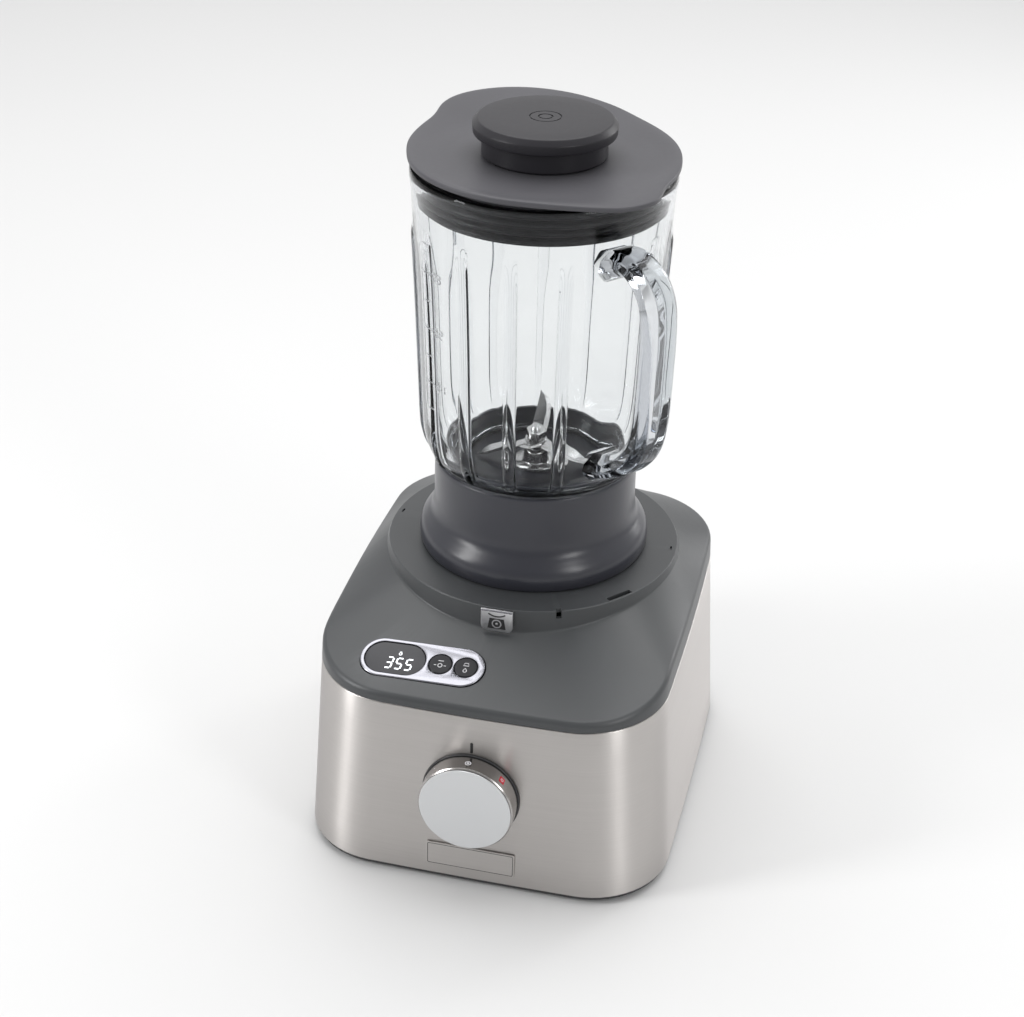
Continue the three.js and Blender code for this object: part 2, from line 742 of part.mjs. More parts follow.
const blender = new THREE.Group();
blender.add(
  makeBasePlate(),
  ...makeFeet(),
  makeWrap(),
  makeRearPanel(),
  makeCordInlet(),
  makeCover(),
  makeSeat(),
  makeBadge(),
  ...makeDisplay(),
  makeDial(),
  makeNamePlate(),
  makeBelt(),
  makeMotor(),
  makeBracket(),
  makeDriveShaft(),
  ...makeElectronics(),
  makeBladeUnit(),
  makeJug(),
  makeLid(),
);

blender.position.y = dialOverhang;

export default blender;
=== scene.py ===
"""Countertop blender: its looks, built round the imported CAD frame.

Shapes are worked out in millimetres and scaled to metres when a mesh is made. Places come from the frame.
"""

import json
from math import asin, atan2, copysign, cos, degrees, pi, radians, sin, tan

import bmesh
import bpy
from mathutils import Matrix, Vector

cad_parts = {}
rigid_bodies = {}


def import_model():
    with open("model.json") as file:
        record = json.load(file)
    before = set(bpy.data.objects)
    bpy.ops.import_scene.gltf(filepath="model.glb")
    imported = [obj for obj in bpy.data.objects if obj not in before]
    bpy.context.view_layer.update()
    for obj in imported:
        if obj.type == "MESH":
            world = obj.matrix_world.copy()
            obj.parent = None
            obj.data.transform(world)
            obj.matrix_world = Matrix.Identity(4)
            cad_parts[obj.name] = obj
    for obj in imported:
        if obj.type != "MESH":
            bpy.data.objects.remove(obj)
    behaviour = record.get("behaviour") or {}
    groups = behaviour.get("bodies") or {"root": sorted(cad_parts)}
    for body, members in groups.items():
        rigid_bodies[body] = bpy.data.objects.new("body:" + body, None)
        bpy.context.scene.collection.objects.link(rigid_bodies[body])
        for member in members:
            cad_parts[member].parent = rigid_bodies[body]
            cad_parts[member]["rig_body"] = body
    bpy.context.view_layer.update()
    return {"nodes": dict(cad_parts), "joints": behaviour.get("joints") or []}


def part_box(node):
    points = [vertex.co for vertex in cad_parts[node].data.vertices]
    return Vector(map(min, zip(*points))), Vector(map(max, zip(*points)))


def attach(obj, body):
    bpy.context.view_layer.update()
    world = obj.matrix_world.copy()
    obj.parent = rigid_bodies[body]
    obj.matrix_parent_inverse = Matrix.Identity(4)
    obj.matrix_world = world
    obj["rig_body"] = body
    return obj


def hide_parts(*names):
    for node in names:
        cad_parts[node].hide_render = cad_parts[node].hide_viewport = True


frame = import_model()

MM = 0.001
JOINTS = {joint["name"]: joint for joint in frame["joints"]}
FEET = [node for node in frame["nodes"] if node.startswith("foot_")]


# Where the frame puts things, in millimetres

def low(node):
    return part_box(node)[0] / MM


def high(node):
    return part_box(node)[1] / MM


def middle(node):
    return (low(node) + high(node)) / 2


AXIS_Y = middle("drive_shaft").y  # the drive and the jug share this vertical axis, at x 0
DRIVE_SETBACK = 17  # of the axis behind the middle of the case
CASE_Y = AXIS_Y - DRIVE_SETBACK

BASE_WIDTH = 210
BASE_DEPTH = 242
SEAM_WIDTH = 197.4
SEAM_FRONT = -119.2  # from the middle of the case
SEAM_REAR = 113
CORNER_RADIUS = 44
SEAM_HEIGHT = 117.3
SEAM_TILT = 0.03
CASE_BOTTOM = low("metal_wrap").z
WRAP_THICKNESS = 1.2
REAR_THICKNESS = 2.5
GAP = 0.3
WRAP_END = high("metal_wrap").y
VENT_HEIGHT = 78  # of the middle of the vents above the table

PLATFORM_RADIUS = 83.2
PLATFORM_TOP = high("top_cover").z
WELL_RADIUS = 46

DIAL_RADIUS = 26.5
DIAL_PROUD = 13.7
LENS_X = -15.3  # places along the display, from its middle
LENS_LENGTH = 34.4
LENS_WIDTH = 20.9
DISPLAY_LENGTH = 69.5
DISPLAY_WIDTH = 25
BUTTON_X = {"zero_button": 10.2, "unit_button": 24.4}
BUTTON_RADIUS = 6.4

COLLAR_BOTTOM = low("blade_collar").z
COLLAR_TOP = high("blade_collar").z
JUG_TOP = high("glass_jug").z
HANDLE_ANGLE = -42.5  # degrees from +X, seen from above
RIBS = 15
LID_BOTTOM = 375.2
LID_TOP = 379.7
SPOUT_ANGLE = 118
CAP_TOP = high("filler_cap").z
CAP_RADIUS = 38


# Curves and outlines

def lerp(a, b, share):
    return a + (b - a) * share


def smooth(value, start, end):
    share = min(1, max(0, (value - start) / (end - start)))
    return share * share * (3 - 2 * share)


def polar(radius, angle, *rest):
    """The coordinates at a radius and an angle in radians, with any others after them."""
    return radius * cos(angle), radius * sin(angle), *rest


def fillet(corners, steps=5):
    """A closed outline with each (x, y, radius) corner rounded; a radius of 0 keeps the corner sharp."""
    points = []
    for i, (x, y, radius) in enumerate(corners):
        corner = Vector((x, y))
        if not radius:
            points.append(corner)
            continue
        before = Vector(corners[i - 1][:2]) - corner
        after = Vector(corners[(i + 1) % len(corners)][:2]) - corner
        reach = radius / tan(before.angle(after) / 2)
        reach = min(reach, before.length * 0.49, after.length * 0.49)
        start = corner + before.normalized() * reach
        end = corner + after.normalized() * reach
        for k in range(steps + 1):
            share = k / steps
            points.append(start.lerp(corner, share).lerp(corner.lerp(end, share), share))
    return points


def spline(points, steps=6):
    """A smooth open curve through the points, which may have any number of coordinates."""
    knots = [Vector(p) for p in points]
    knots = [knots[0] * 2 - knots[1], *knots, knots[-1] * 2 - knots[-2]]
    curve = []
    for a, b, c, d in zip(knots, knots[1:], knots[2:], knots[3:]):
        for k in range(steps):
            t = k / steps
            bend = 2 * a - 5 * b + 4 * c - d
            curve.append((2 * b + (c - a) * t + bend * t * t + (3 * b - a - 3 * c + d) * t ** 3) / 2)
    curve.append(knots[-2])
    return curve


def arc(radius, start, end, x=0.0, y=0.0, steps=24):
    angles = [radians(lerp(start, end, k / steps)) for k in range(steps + 1)]
    return [(x + radius * cos(a), y + radius * sin(a)) for a in angles]


def stadium(length, width, steps=20):
    """An outline maker: called with an inset, it gives the outline set in by that much."""
    def outline(inset=0):
        radius = width / 2 - inset
        reach = (length - width) / 2
        return arc(radius, -90, 90, reach, 0, steps) + arc(radius, 90, 270, -reach, 0, steps)
    return outline


def round_outline(radius, steps=48):
    return stadium(2 * radius, 2 * radius, steps // 2)


def panel(width, height, corner):
    def outline(inset=0):
        w, h = width / 2 - inset, height / 2 - inset
        r = max(0.05, corner - inset)
        return fillet([(w, -h, r), (w, h, r), (-w, h, r), (-w, -h, r)], 6)
    return outline


def skin(rings, looped=False):
    """Vertices and faces over rings of equal length, capped at both ends unless the stack is looped."""
    count = len(rings[0])
    verts = [tuple(p) for ring in rings for p in ring]
    faces = []
    for ring in range(len(rings) - (not looped)):
        a, b = ring * count, (ring + 1) % len(rings) * count
        for i in range(count):
            j = (i + 1) % count
            faces.append((a + i, a + j, b + j, b + i))
    if not looped:
        faces.append(tuple(reversed(range(count))))
        faces.append(tuple(range(len(verts) - count, len(verts))))
    return verts, faces


def slab(outline, bottom, top, edge=0.01, steps=3):
    """An outline drawn up from bottom to top, with both edges rounded."""
    rings = []
    for centre, start in ((bottom + edge, -90), (top - edge, 0)):
        for k in range(steps + 1):
            angle = radians(start + 90 * k / steps)
            inset = edge * (1 - cos(angle))
            rings.append([(x, y, centre + edge * sin(angle)) for x, y in outline(inset)])
    return skin(rings)


def turned(profile, steps=96):
    """A turned skin from a closed [radius, height] profile, or from one that starts and ends on the axis."""
    open_ended = profile[0][0] == 0
    turns = [2 * pi * k / steps for k in range(steps)]
    rings = [[polar(radius, a, height) for a in turns]
             for radius, height in (profile[1:-1] if open_ended else profile)]
    return skin(rings, looped=not open_ended)


def moved(shape, matrix):
    verts, faces = shape
    return [tuple(matrix @ Vector(v)) for v in verts], faces


def shifted(shape, x=0, y=0, z=0):
    return moved(shape, Matrix.Translation((x, y, z)))


def rotation(angle, axis):
    return Matrix.Rotation(radians(angle), 4, axis)


def spun(shape, angle, axis="Z"):
    return moved(shape, rotation(angle, axis))


def about_axis(shape):
    return shifted(shape, y=AXIS_Y)


def merged(*shapes):
    verts, faces = [], []
    for some_verts, some_faces in shapes:
        start = len(verts)
        verts.extend(some_verts)
        faces.extend(tuple(i + start for i in face) for face in some_faces)
    return verts, faces


def rod(radius, bottom, top, x=0, y=0, steps=48):
    return shifted(slab(round_outline(radius, steps), bottom, top), x, y)


def rim_loop(outline, levels):
    """A closed loop that follows an outline, its section given as (height, inset) corners."""
    return skin([[(x, y, z) for x, y in outline(inset)] for z, inset in levels], looped=True)


def block(width, depth, height, x=0, y=0, z=0, edge=0.3):
    corner = min(edge * 2, width / 3, depth / 3)
    return shifted(slab(panel(width, depth, corner), -height / 2, height / 2, edge), x, y, z)


# Pieces

def new_object(name, data):
    obj = bpy.data.objects.new(name, data)
    bpy.context.scene.collection.objects.link(obj)
    return obj


def make_object(name, shape, material=None, sharp=32):
    verts, faces = shape
    mesh = bpy.data.meshes.new(name)
    mesh.from_pydata([Vector(v) * MM for v in verts], [], faces)
    tidy = bmesh.new()
    tidy.from_mesh(mesh)
    bmesh.ops.remove_doubles(tidy, verts=tidy.verts, dist=1e-7)
    bmesh.ops.recalc_face_normals(tidy, faces=tidy.faces)
    tidy.to_mesh(mesh)
    tidy.free()
    mesh.shade_smooth()
    mesh.set_sharp_from_angle(angle=radians(sharp))
    if material:
        mesh.materials.append(material)
    return new_object(name, mesh)


def apply_modifiers(obj, sharp=32):
    graph = bpy.context.evaluated_depsgraph_get()
    mesh = bpy.data.meshes.new_from_object(obj.evaluated_get(graph))
    obj.modifiers.clear()
    obj.data = mesh
    mesh.shade_smooth()
    mesh.set_sharp_from_angle(angle=radians(sharp))


def combine(obj, shapes, operation, sharp):
    if not shapes:
        return
    tools = [make_object("tool", shape) for shape in shapes]
    for tool in tools:
        modifier = obj.modifiers.new("combine", "BOOLEAN")
        modifier.operation = operation
        modifier.solver = "EXACT"
        modifier.object = tool
    apply_modifiers(obj, sharp)
    for tool in tools:
        bpy.data.objects.remove(tool)


def part(node, name, shape, material, sharp=32, within=(), cuts=(), joins=(), others=()):
    """A piece that stands for a CAD node, and for any others, on the node's body and in the material given.

    It keeps only what is within some shapes, then has others cut out of it or joined to it.
    """
    obj = make_object(name, shape, material, sharp)
    combine(obj, within, "INTERSECT", sharp)
    combine(obj, cuts, "DIFFERENCE", sharp)
    combine(obj, joins, "UNION", sharp)
    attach(obj, frame["nodes"][node]["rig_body"])
    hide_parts(node, *others)
    return obj


def turned_part(node, name, profile, material, steps=96, sharp=32, **changes):
    """A piece turned about the drive's axis."""
    return part(node, name, about_axis(turned(profile, steps)), material, sharp, **changes)


def detail(name, shape, body, material):
    obj = make_object(name, shape, material)
    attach(obj, body)
    return obj


# Materials

def add_node(tree, kind, **inputs):
    """A new node with its inputs set to values, or linked where they are given as sockets."""
    made = tree.nodes.new("ShaderNode" + kind)
    for socket, value in inputs.items():
        target = made.inputs[socket.replace("_", " ")]
        if isinstance(value, bpy.types.NodeSocket):
            tree.links.new(value, target)
        else:
            target.default_value = value
    return made


EDGE_WEAR = 0.35  # how far the sharpest edges of plastic go towards their rubbed colour


class Look:
    """A procedural material: a Principled shader, with nodes added by short calls."""

    def __init__(self, name, color, roughness, metallic=0.0, **sockets):
        self.material = bpy.data.materials.new(name)
        self.material.use_nodes = True
        self.tree = self.material.node_tree
        self.shader = self.tree.nodes["Principled BSDF"]
        self.color = color
        self.roughness = roughness
        sockets.update(Base_Color=(*color, 1), Roughness=roughness, Metallic=metallic)
        for socket, value in sockets.items():
            self.shader.inputs[socket.replace("_", " ")].default_value = value
        self.bump = None

    def feed(self, socket, value):
        self.tree.links.new(value, self.shader.inputs[socket])

    def node(self, kind, **inputs):
        return add_node(self.tree, kind, **inputs)

    def place(self, scale=(1, 1, 1)):
        """Object coordinates in millimetres, times a scale."""
        source = self.node("TexCoord").outputs["Object"]
        return self.node("Mapping", Vector=source, Scale=[s / MM for s in scale]).outputs["Vector"]

    def noise(self, scale, levels=2.0):
        """Noise with so many features to a millimetre, alike on all axes or given for each."""
        scales = (scale,) * 3 if isinstance(scale, float) else scale
        return self.node("TexNoise", Vector=self.place(scales), Scale=1.0, Detail=levels).outputs["Fac"]

    def between(self, value, low_value, high_value, start=0.3, end=0.7):
        return self.node("MapRange", Value=value, From_Min=start, From_Max=end, To_Min=low_value,
                         To_Max=high_value).outputs["Result"]

    def shade(self, value, spread):
        """Varies the colour round its mean by a share, along a value from 0 to 1."""
        ramp = self.node("ValToRGB", Fac=value)
        for stop, sign, place in zip(ramp.color_ramp.elements, (-1, 1), (0.3, 0.7)):
            stop.position = place
            stop.color = (*[min(1, c * (1 + sign * spread)) for c in self.color], 1)
        self.feed("Base Color", ramp.outputs["Color"])
        return ramp.outputs["Color"]

    def rough(self, value, spread):
        self.feed("Roughness", self.between(value, self.roughness - spread, self.roughness + spread))

    def raise_by(self, value, depth, strength=1.0):
        """Bumps the surface by a value from 0 to 1 times a depth in millimetres."""
        made = self.node("Bump", Height=value, Distance=depth * MM, Strength=strength)
        if self.bump:
            self.tree.links.new(self.bump, made.inputs["Normal"])
        self.bump = made.outputs["Normal"]
        self.feed("Normal", self.bump)


def plastic(name, color, roughness, grain=2.2, depth=0.012, **sockets):
    """Moulded plastic: a fine spark-eroded grain, slow changes of shade, and edges rubbed a little lighter."""
    look = Look(name, color, roughness, **sockets)
    grains = look.noise(grain, 3.0)
    broad = look.noise(0.018, 2.0)
    shade = look.shade(broad, 0.05)
    look.rough(look.noise(0.3, 3.0), 0.012)
    look.raise_by(grains, depth)
    edges = look.between(look.node("NewGeometry").outputs["Pointiness"], 0.0, EDGE_WEAR, 0.52, 0.6)
    worn = look.node("Mix", Factor=edges)
    worn.data_type = "RGBA"
    look.tree.links.new(shade, worn.inputs[6])
    worn.inputs[7].default_value = (*[min(1, c * 1.6 + 0.01) for c in color], 1)
    look.feed("Base Color", worn.outputs[2])
    return look.material


def brushed(name, color, roughness, fine, along, depth=0.004, spread=0.04, **sockets):
    """Brushed metal: scratches drawn out along one direction, in two lengths."""
    look = Look(name, color, roughness, 1.0, **sockets)
    scratches = look.noise([fine if s else along for s in (0, 0, 1)], 4.0)
    streaks = look.noise([fine * 0.16 if s else along * 0.5 for s in (0, 0, 1)], 2.0)
    look.shade(streaks, spread)
    look.rough(scratches, 0.025)
    look.raise_by(scratches, depth)
    return look.material


def case_steel():
    """Satin steel brushed round the case, so that highlights draw out up and down."""
    look = Look("brushed_steel", (0.565, 0.541, 0.523), 0.36, 1.0, Anisotropic=0.93, Anisotropic_Rotation=0.25,
                Specular_Tint=(0.72, 0.72, 0.73, 1))
    tangent = look.node("Tangent")
    tangent.direction_type = "RADIAL"
    tangent.axis = "Z"
    look.feed("Tangent", tangent.outputs["Tangent"])
    scratches = look.noise((0.05, 0.05, 7.0), 3.0)
    streaks = look.noise((0.012, 0.012, 1.1), 3.0)
    look.shade(streaks, 0.018)
    look.rough(scratches, 0.03)
    look.raise_by(scratches, 0.0012)
    return look.material


def spun_metal(name, color, roughness, centre, **sockets):
    """Metal faced on a lathe: fine rings round a centre, given in millimetres."""
    look = Look(name, color, roughness, 1.0, **sockets)
    away = look.node("VectorMath", Vector=look.place())
    away.operation = "DISTANCE"
    away.inputs[1].default_value = centre
    rings = look.node("CombineXYZ", X=away.outputs["Value"])
    fine = look.node("TexNoise", Vector=rings.outputs["Vector"], Scale=5.0, Detail=3.0).outputs["Fac"]
    look.shade(fine, 0.03)
    look.rough(fine, 0.05)
    look.raise_by(fine, 0.003)
    return look.material


def varied(name, color, roughness, metallic=0.0, shades=(), roughs=(), relief=(), **sockets):
    """A look with up to three noises, each given as (scale, detail levels, amount)."""
    look = Look(name, color, roughness, metallic, **sockets)
    for vary, noise in ((look.shade, shades), (look.rough, roughs), (look.raise_by, relief)):
        if noise:
            vary(look.noise(*noise[:2]), noise[2])
    return look.material


def worked_metal(name, color, roughness, scale=1.2):
    return varied(name, color, roughness, 1.0, (scale, 5.0, 0.1), (scale, 5.0, 0.08), (scale, 5.0, 0.01))


def rubber(name, color, roughness=0.75):
    return varied(name, color, roughness, 0.0, (0.05, 2.0, 0.12), (0.5, 3.0, 0.06), (1.6, 3.0, 0.02),
                  Specular_IOR_Level=0.35)


def ink(name, color, roughness=0.45):
    return varied(name, color, roughness, shades=(1.2, 2.0, 0.06), relief=(3.0, 2.0, 0.006))


def glass_look():
    """Clear pressed glass: a little grey where light has far to go in it, and faintly wavy from the mould."""
    look = Look("pressed_glass", (0.985, 0.995, 0.992), 0.0, Transmission_Weight=1.0, IOR=1.46,
                Specular_Tint=(0.35, 0.35, 0.36, 1))
    look.raise_by(look.noise((0.035, 0.035, 0.012), 1.0), 0.25, 0.5)
    depth = look.node("VolumeAbsorption", Color=(0.5, 0.53, 0.58, 1), Density=40.0)
    look.tree.links.new(depth.outputs["Volume"], look.tree.nodes["Material Output"].inputs["Volume"])
    return look.material


def board_look():
    """Green solder mask over copper tracks, which show as a lighter, raised pattern."""
    look = Look("solder_mask", (0.02, 0.12, 0.045), 0.35)
    tracks = look.node("TexBrick", Vector=look.place(), Scale=0.12, Color1=(0.02, 0.12, 0.045, 1),
                       Color2=(0.018, 0.1, 0.04, 1), Mortar=(0.07, 0.3, 0.1, 1))
    look.feed("Base Color", tracks.outputs["Color"])
    look.raise_by(tracks.outputs["Fac"], 0.03)
    return look.material


def winding_look():
    """Enamelled wire laid in turns."""
    look = Look("copper_winding", (0.62, 0.27, 0.12), 0.35, 1.0)
    turns = look.node("TexWave", Vector=look.place(), Scale=0.45, Distortion=1.5)
    turns.bands_direction = "Z"
    look.shade(turns.outputs["Fac"], 0.25)
    look.raise_by(turns.outputs["Fac"], 0.3)
    return look.material


STEEL = case_steel()
COVER_PLASTIC = plastic("cover_plastic", (0.049, 0.052, 0.055), 0.39)
COLLAR_PLASTIC = plastic("collar_plastic", (0.029, 0.03, 0.039), 0.29, 0.5, 0.002)
LID_PLASTIC = plastic("lid_plastic", (0.081, 0.08, 0.088), 0.42, Specular_IOR_Level=0.2)
# The cap's colour is the lid's grey painted much darker: painted shade for the cap's shaded side.
CAP_PLASTIC_PAINTED_SHADE = plastic("cap_plastic_painted_shade", (0.021, 0.02, 0.024), 0.38, Specular_IOR_Level=0.26)
DARK_PLASTIC = plastic("dark_plastic", (0.018, 0.018, 0.02), 0.42)
KEY_PLASTIC = plastic("key_plastic", (0.009, 0.009, 0.012), 0.34, 3.0, 0.006, Specular_IOR_Level=0.25)
RUBBER = rubber("rubber", (0.014, 0.014, 0.015))
SEAL_RUBBER = rubber("seal_rubber", (0.006, 0.006, 0.007), 0.5)
GLASS = glass_look()
FROSTED = varied("frosted_glass", (0.78, 0.79, 0.81), 0.45, relief=(1.5, 3.0, 0.05), Transmission_Weight=0.55,
                 IOR=1.5)
WINDOW = varied("display_glass", (0.014, 0.014, 0.019), 0.14, shades=(0.06, 1.0, 0.2), roughs=(0.4, 3.0, 0.02),
                Specular_IOR_Level=0.35)
LIT = varied("display_digits", (0.9, 0.93, 1.0), 0.5, shades=(1.5, 1.0, 0.03),
             Emission_Color=(0.93, 0.96, 1.0, 1), Emission_Strength=1.1)
WHITE_INK = ink("white_ink", (0.62, 0.62, 0.64))
BLACK_INK = ink("black_ink", (0.012, 0.012, 0.013))
RED_ENAMEL = ink("red_enamel", (0.5, 0.008, 0.028), 0.4)
BEZEL_METAL = brushed("bezel_metal", (0.31, 0.31, 0.34), 0.26, 4.0, 0.05, 0.002, 0.02)
BADGE_METAL = brushed("badge_metal", (0.66, 0.66, 0.67), 0.3, 4.0, 0.05, 0.002, 0.03)
CHROME = brushed("dial_rim_metal", (0.4, 0.385, 0.375), 0.2, 3.0, 0.05, 0.002, 0.04)
CUTTER = worked_metal("ground_steel", (0.62, 0.62, 0.62), 0.22, 2.5)
TURNED = worked_metal("turned_steel", (0.45, 0.45, 0.44), 0.36)
CASTING = worked_metal("die_cast_alloy", (0.42, 0.42, 0.41), 0.5, 0.8)
BOARD = board_look()
WINDING = winding_look()


# The case

def case_outline(level, inset, corner_steps=14, side_steps=12):
    """Points of the case outline, counter-clockwise; level 0 is the table and 1 the seam."""
    half_width = lerp(BASE_WIDTH, SEAM_WIDTH, level) / 2 - inset
    front = lerp(-BASE_DEPTH / 2, SEAM_FRONT, level) + inset
    rear = lerp(BASE_DEPTH / 2, SEAM_REAR, level) - inset
    half_depth = (rear - front) / 2
    centre = (rear + front) / 2
    radius = CORNER_RADIUS - inset
    bow = lerp(1.5, 3, level)
    points = []
    for side_x, side_y, start in ((1, -1, -90), (1, 1, 0), (-1, 1, 90), (-1, -1, 180)):
        centre_x, centre_y = side_x * (half_width - radius), side_y * (half_depth - radius)
        points += arc(radius, start, start + 90, centre_x, centre_y, corner_steps)
        from_x, from_y = points[-1]
        to_x, to_y = (-from_x, from_y) if side_x == side_y else (from_x, -from_y)
        for k in range(1, side_steps + 1):
            share = k / (side_steps + 1)
            points.append((lerp(from_x, to_x, share), lerp(from_y, to_y, share)))
    outline = []
    for x, y in points:
        bow_x = copysign(bow, x) * (y / half_depth) ** 2
        bow_y = copysign(bow, y) * (x / half_width) ** 2
        outline.append((x - bow_x, y - bow_y + centre))
    return outline


def seam_at(y):
    return SEAM_HEIGHT + SEAM_TILT * y


def wall_ring(rise, inset):
    """A ring on the case wall; rise runs from 0 at its lower edge to 1 just under the seam."""
    ring = []
    lower = case_outline(CASE_BOTTOM / SEAM_HEIGHT, inset)
    upper = case_outline(1, inset)
    for (ax, ay), (bx, by) in zip(lower, upper):
        z = lerp(CASE_BOTTOM, seam_at(by) - GAP / 2, rise)
        ring.append((lerp(ax, bx, rise), lerp(ay, by, rise) + CASE_Y, z))
    return ring


def case_wall(thickness, edge):
    """The whole shell of the case, with its outer edges rounded over."""
    tall = SEAM_HEIGHT - CASE_BOTTOM
    rises = [(edge * (1 - cos(a)), edge * (1 - sin(a))) for a in map(radians, (0, 30, 60, 90))]
    rings = [wall_ring(drop / tall, inset) for inset, drop in reversed(rises)]
    rings += [wall_ring(k / 6, 0) for k in range(1, 6)]
    rings += [wall_ring(1 - drop / tall, inset) for inset, drop in rises]
    rings += [wall_ring(1, thickness), wall_ring(0, thickness)]
    return skin(rings, looped=True)


def big_block(y_low, y_high):
    """A block that holds all of the case between two depths."""
    return block(400, y_high - y_low, 400, 0, (y_low + y_high) / 2, 100)


def make_case():
    part("metal_wrap", "steel_shell", case_wall(WRAP_THICKNESS, 0.5), STEEL, 40,
         within=[big_block(WRAP_END - 400, WRAP_END)])
    rear_y = CASE_Y + BASE_DEPTH / 2 - 4
    vent = spun(slab(stadium(30, 3), -15, 15), 90, "X")
    vents = [shifted(vent, side, rear_y, VENT_HEIGHT + rise) for rise in range(-20, 21, 8) for side in (-22, 22)]
    inlet = middle("cord_inlet")
    hole = spun(rod(7.3, -15, 15), 90, "X")
    part("rear_panel", "rear_shell", case_wall(REAR_THICKNESS, 0.8), COVER_PLASTIC, 40,
         within=[big_block(WRAP_END + GAP, WRAP_END + 400)],
         cuts=[merged(*vents), shifted(hole, inlet.x, rear_y, inlet.z)])

    frame_ring = rim_loop(panel(92, 62, 6), ((0, 0), (0.5, 0), (0.8, 0.3), (0.8, 1.1), (0.5, 1.4), (0, 1.4)))
    tilt = degrees(atan2(BASE_DEPTH / 2 - SEAM_REAR, SEAM_HEIGHT))
    panel_y = CASE_Y + BASE_DEPTH / 2 - tan(radians(tilt)) * VENT_HEIGHT - 0.1
    rim = shifted(spun(frame_ring, tilt - 90, "X"), 0, panel_y, VENT_HEIGHT)
    detail("vent_surround", rim, "base", COVER_PLASTIC)


def make_inlet():
    profile = fillet([(4, -6, 0.6), (7, -6, 0.3), (7, 3.5, 0), (9.5, 3.5, 0.5), (9.5, 5, 0.9), (4, 5, 1.1)])
    centre = middle("cord_inlet")
    shape = shifted(spun(turned(profile, 48), -90, "X"), centre.x, low("cord_inlet").y + 6, centre.z)
    part("cord_inlet", "inlet_bush", shape, RUBBER)


def make_skirt():
    """The moulded floor: its dark skirt shows under the steel, and its underside has ribs and screws."""
    def ring(z, inset):
        return [(x, y + CASE_Y, z) for x, y in case_outline(z / SEAM_HEIGHT, inset)]
    skirt = skin([ring(2, 3), ring(2.1, 2.2), ring(2.6, 1.5), ring(4.7, 0.7), ring(5.2, 3.4), ring(12, 3.4),
                  ring(12, 5.4)])
    pockets = [rod(12.5, -1, 3.5, foot.x, foot.y) for foot in map(middle, FEET)]
    grooves = [block(1.2, 150, 1.4, x, CASE_Y, 2) for x in (-48, -16, 16, 48)]
    part("base_plate", "floor_skirt", skirt, DARK_PLASTIC, cuts=[merged(*pockets), merged(*grooves)])
    head = turned([(0, 1.3), (2.9, 1.3), (3.4, 1.6), (3.4, 2.2), (0, 2.2)], 24)
    screws = [shifted(head, x, y + CASE_Y) for x, y in
              ((-82.8, 0), (82.8, 0), (-36, 100), (36, 100), (-36, -100), (36, -100))]
    detail("floor_screws", merged(*screws), "base", TURNED)


def make_feet():
    profile = [(0, 0.5), (6, 0.5), (6.4, 0), (10.2, 0), (11.3, 0.6), (11.9, 1.6), (12, 3.2), (0, 3.2)]
    for node in FEET:
        centre = middle(node)
        part(node, "pad_" + node, shifted(turned(profile, 48), centre.x, centre.y), RUBBER)


# The cover

def wall_height(forward):
    """Of the platform's wall: tallest at the front, where the cover falls away in front of it."""
    return 3.4 + 10 * max(0, forward) ** 2


def cover_station(x, y):
    outward = Vector((x, y - DRIVE_SETBACK))
    reach = outward.length
    outward.normalize()
    seam = seam_at(y)
    rise = lerp(5.5, 13.5, smooth(y, SEAM_FRONT, -60))
    shoulder = seam + rise
    foot = PLATFORM_TOP - wall_height(-outward.y)
    foot_radius = PLATFORM_RADIUS + 1.3
    profile = fillet([
        (reach - 2.5, seam + GAP / 2, 0),
        (reach, seam + GAP / 2, 0.5),
        (reach - 0.7, shoulder, 4.2),
        (foot_radius, foot, 1.6),
        (PLATFORM_RADIUS, PLATFORM_TOP, 0.9),
        (WELL_RADIUS, PLATFORM_TOP, 0.8),
        (WELL_RADIUS, PLATFORM_TOP - 2.5, 0),
        (PLATFORM_RADIUS - 2, PLATFORM_TOP - 2.5, 0),
        (foot_radius - 1.5, foot - 2.5, 0),
        (reach - 4.5, shoulder - 3.1, 0),
    ], 6)
    return [(outward.x * r, AXIS_Y + outward.y * r, z) for r, z in profile]


def on_rim(shape, angle, radius, z):
    """Puts a shape on the platform at an angle about the axis, its +X outward."""
    return shifted(spun(shifted(shape, radius), angle), 0, AXIS_Y, z)


def facing(out, place):
    """The matrix that turns +Z outward and keeps +X square to the frame's Y, with the origin at a place."""
    across = Vector((0, 1, 0)).cross(out).normalized()
    return Matrix.Translation(place) @ Matrix((across, out.cross(across), out)).transposed().to_4x4()


def on_display(shape):
    """Puts a shape on the leaning display: the keys press straight into it."""
    out = -Vector(JOINTS["zero_press"]["axis"]).normalized()
    bezel_middle = -1.9
    return moved(shape, facing(out, middle("display_bezel") - out * bezel_middle))


def make_cover():
    stations = [cover_station(x, y) for x, y in case_outline(1, 0, 16, 16)]
    rings = [list(ring) for ring in zip(*stations)]
    opening = on_display(slab(stadium(DISPLAY_LENGTH + 1, DISPLAY_WIDTH + 1, 28), -12, 12))
    slot = on_rim(slab(panel(3, 16, 0.8), -6, 6), -40.5, 80.2, PLATFORM_TOP)
    pin = middle("interlock_pin")
    pin_hole = rod(2.1, 140, 160, pin.x, pin.y, 24)
    notches = [on_rim(block(1.2, 4, 2, edge=0.2), angle, 80, PLATFORM_TOP) for angle in (3.7, 176.6)]
    notches.append(on_rim(block(5, 3, 9, edge=0.2), -67, PLATFORM_RADIUS, PLATFORM_TOP))
    part("top_cover", "cover_shell", skin(rings, looped=True), COVER_PLASTIC, 28,
         cuts=[opening, slot, pin_hole, merged(*notches)])


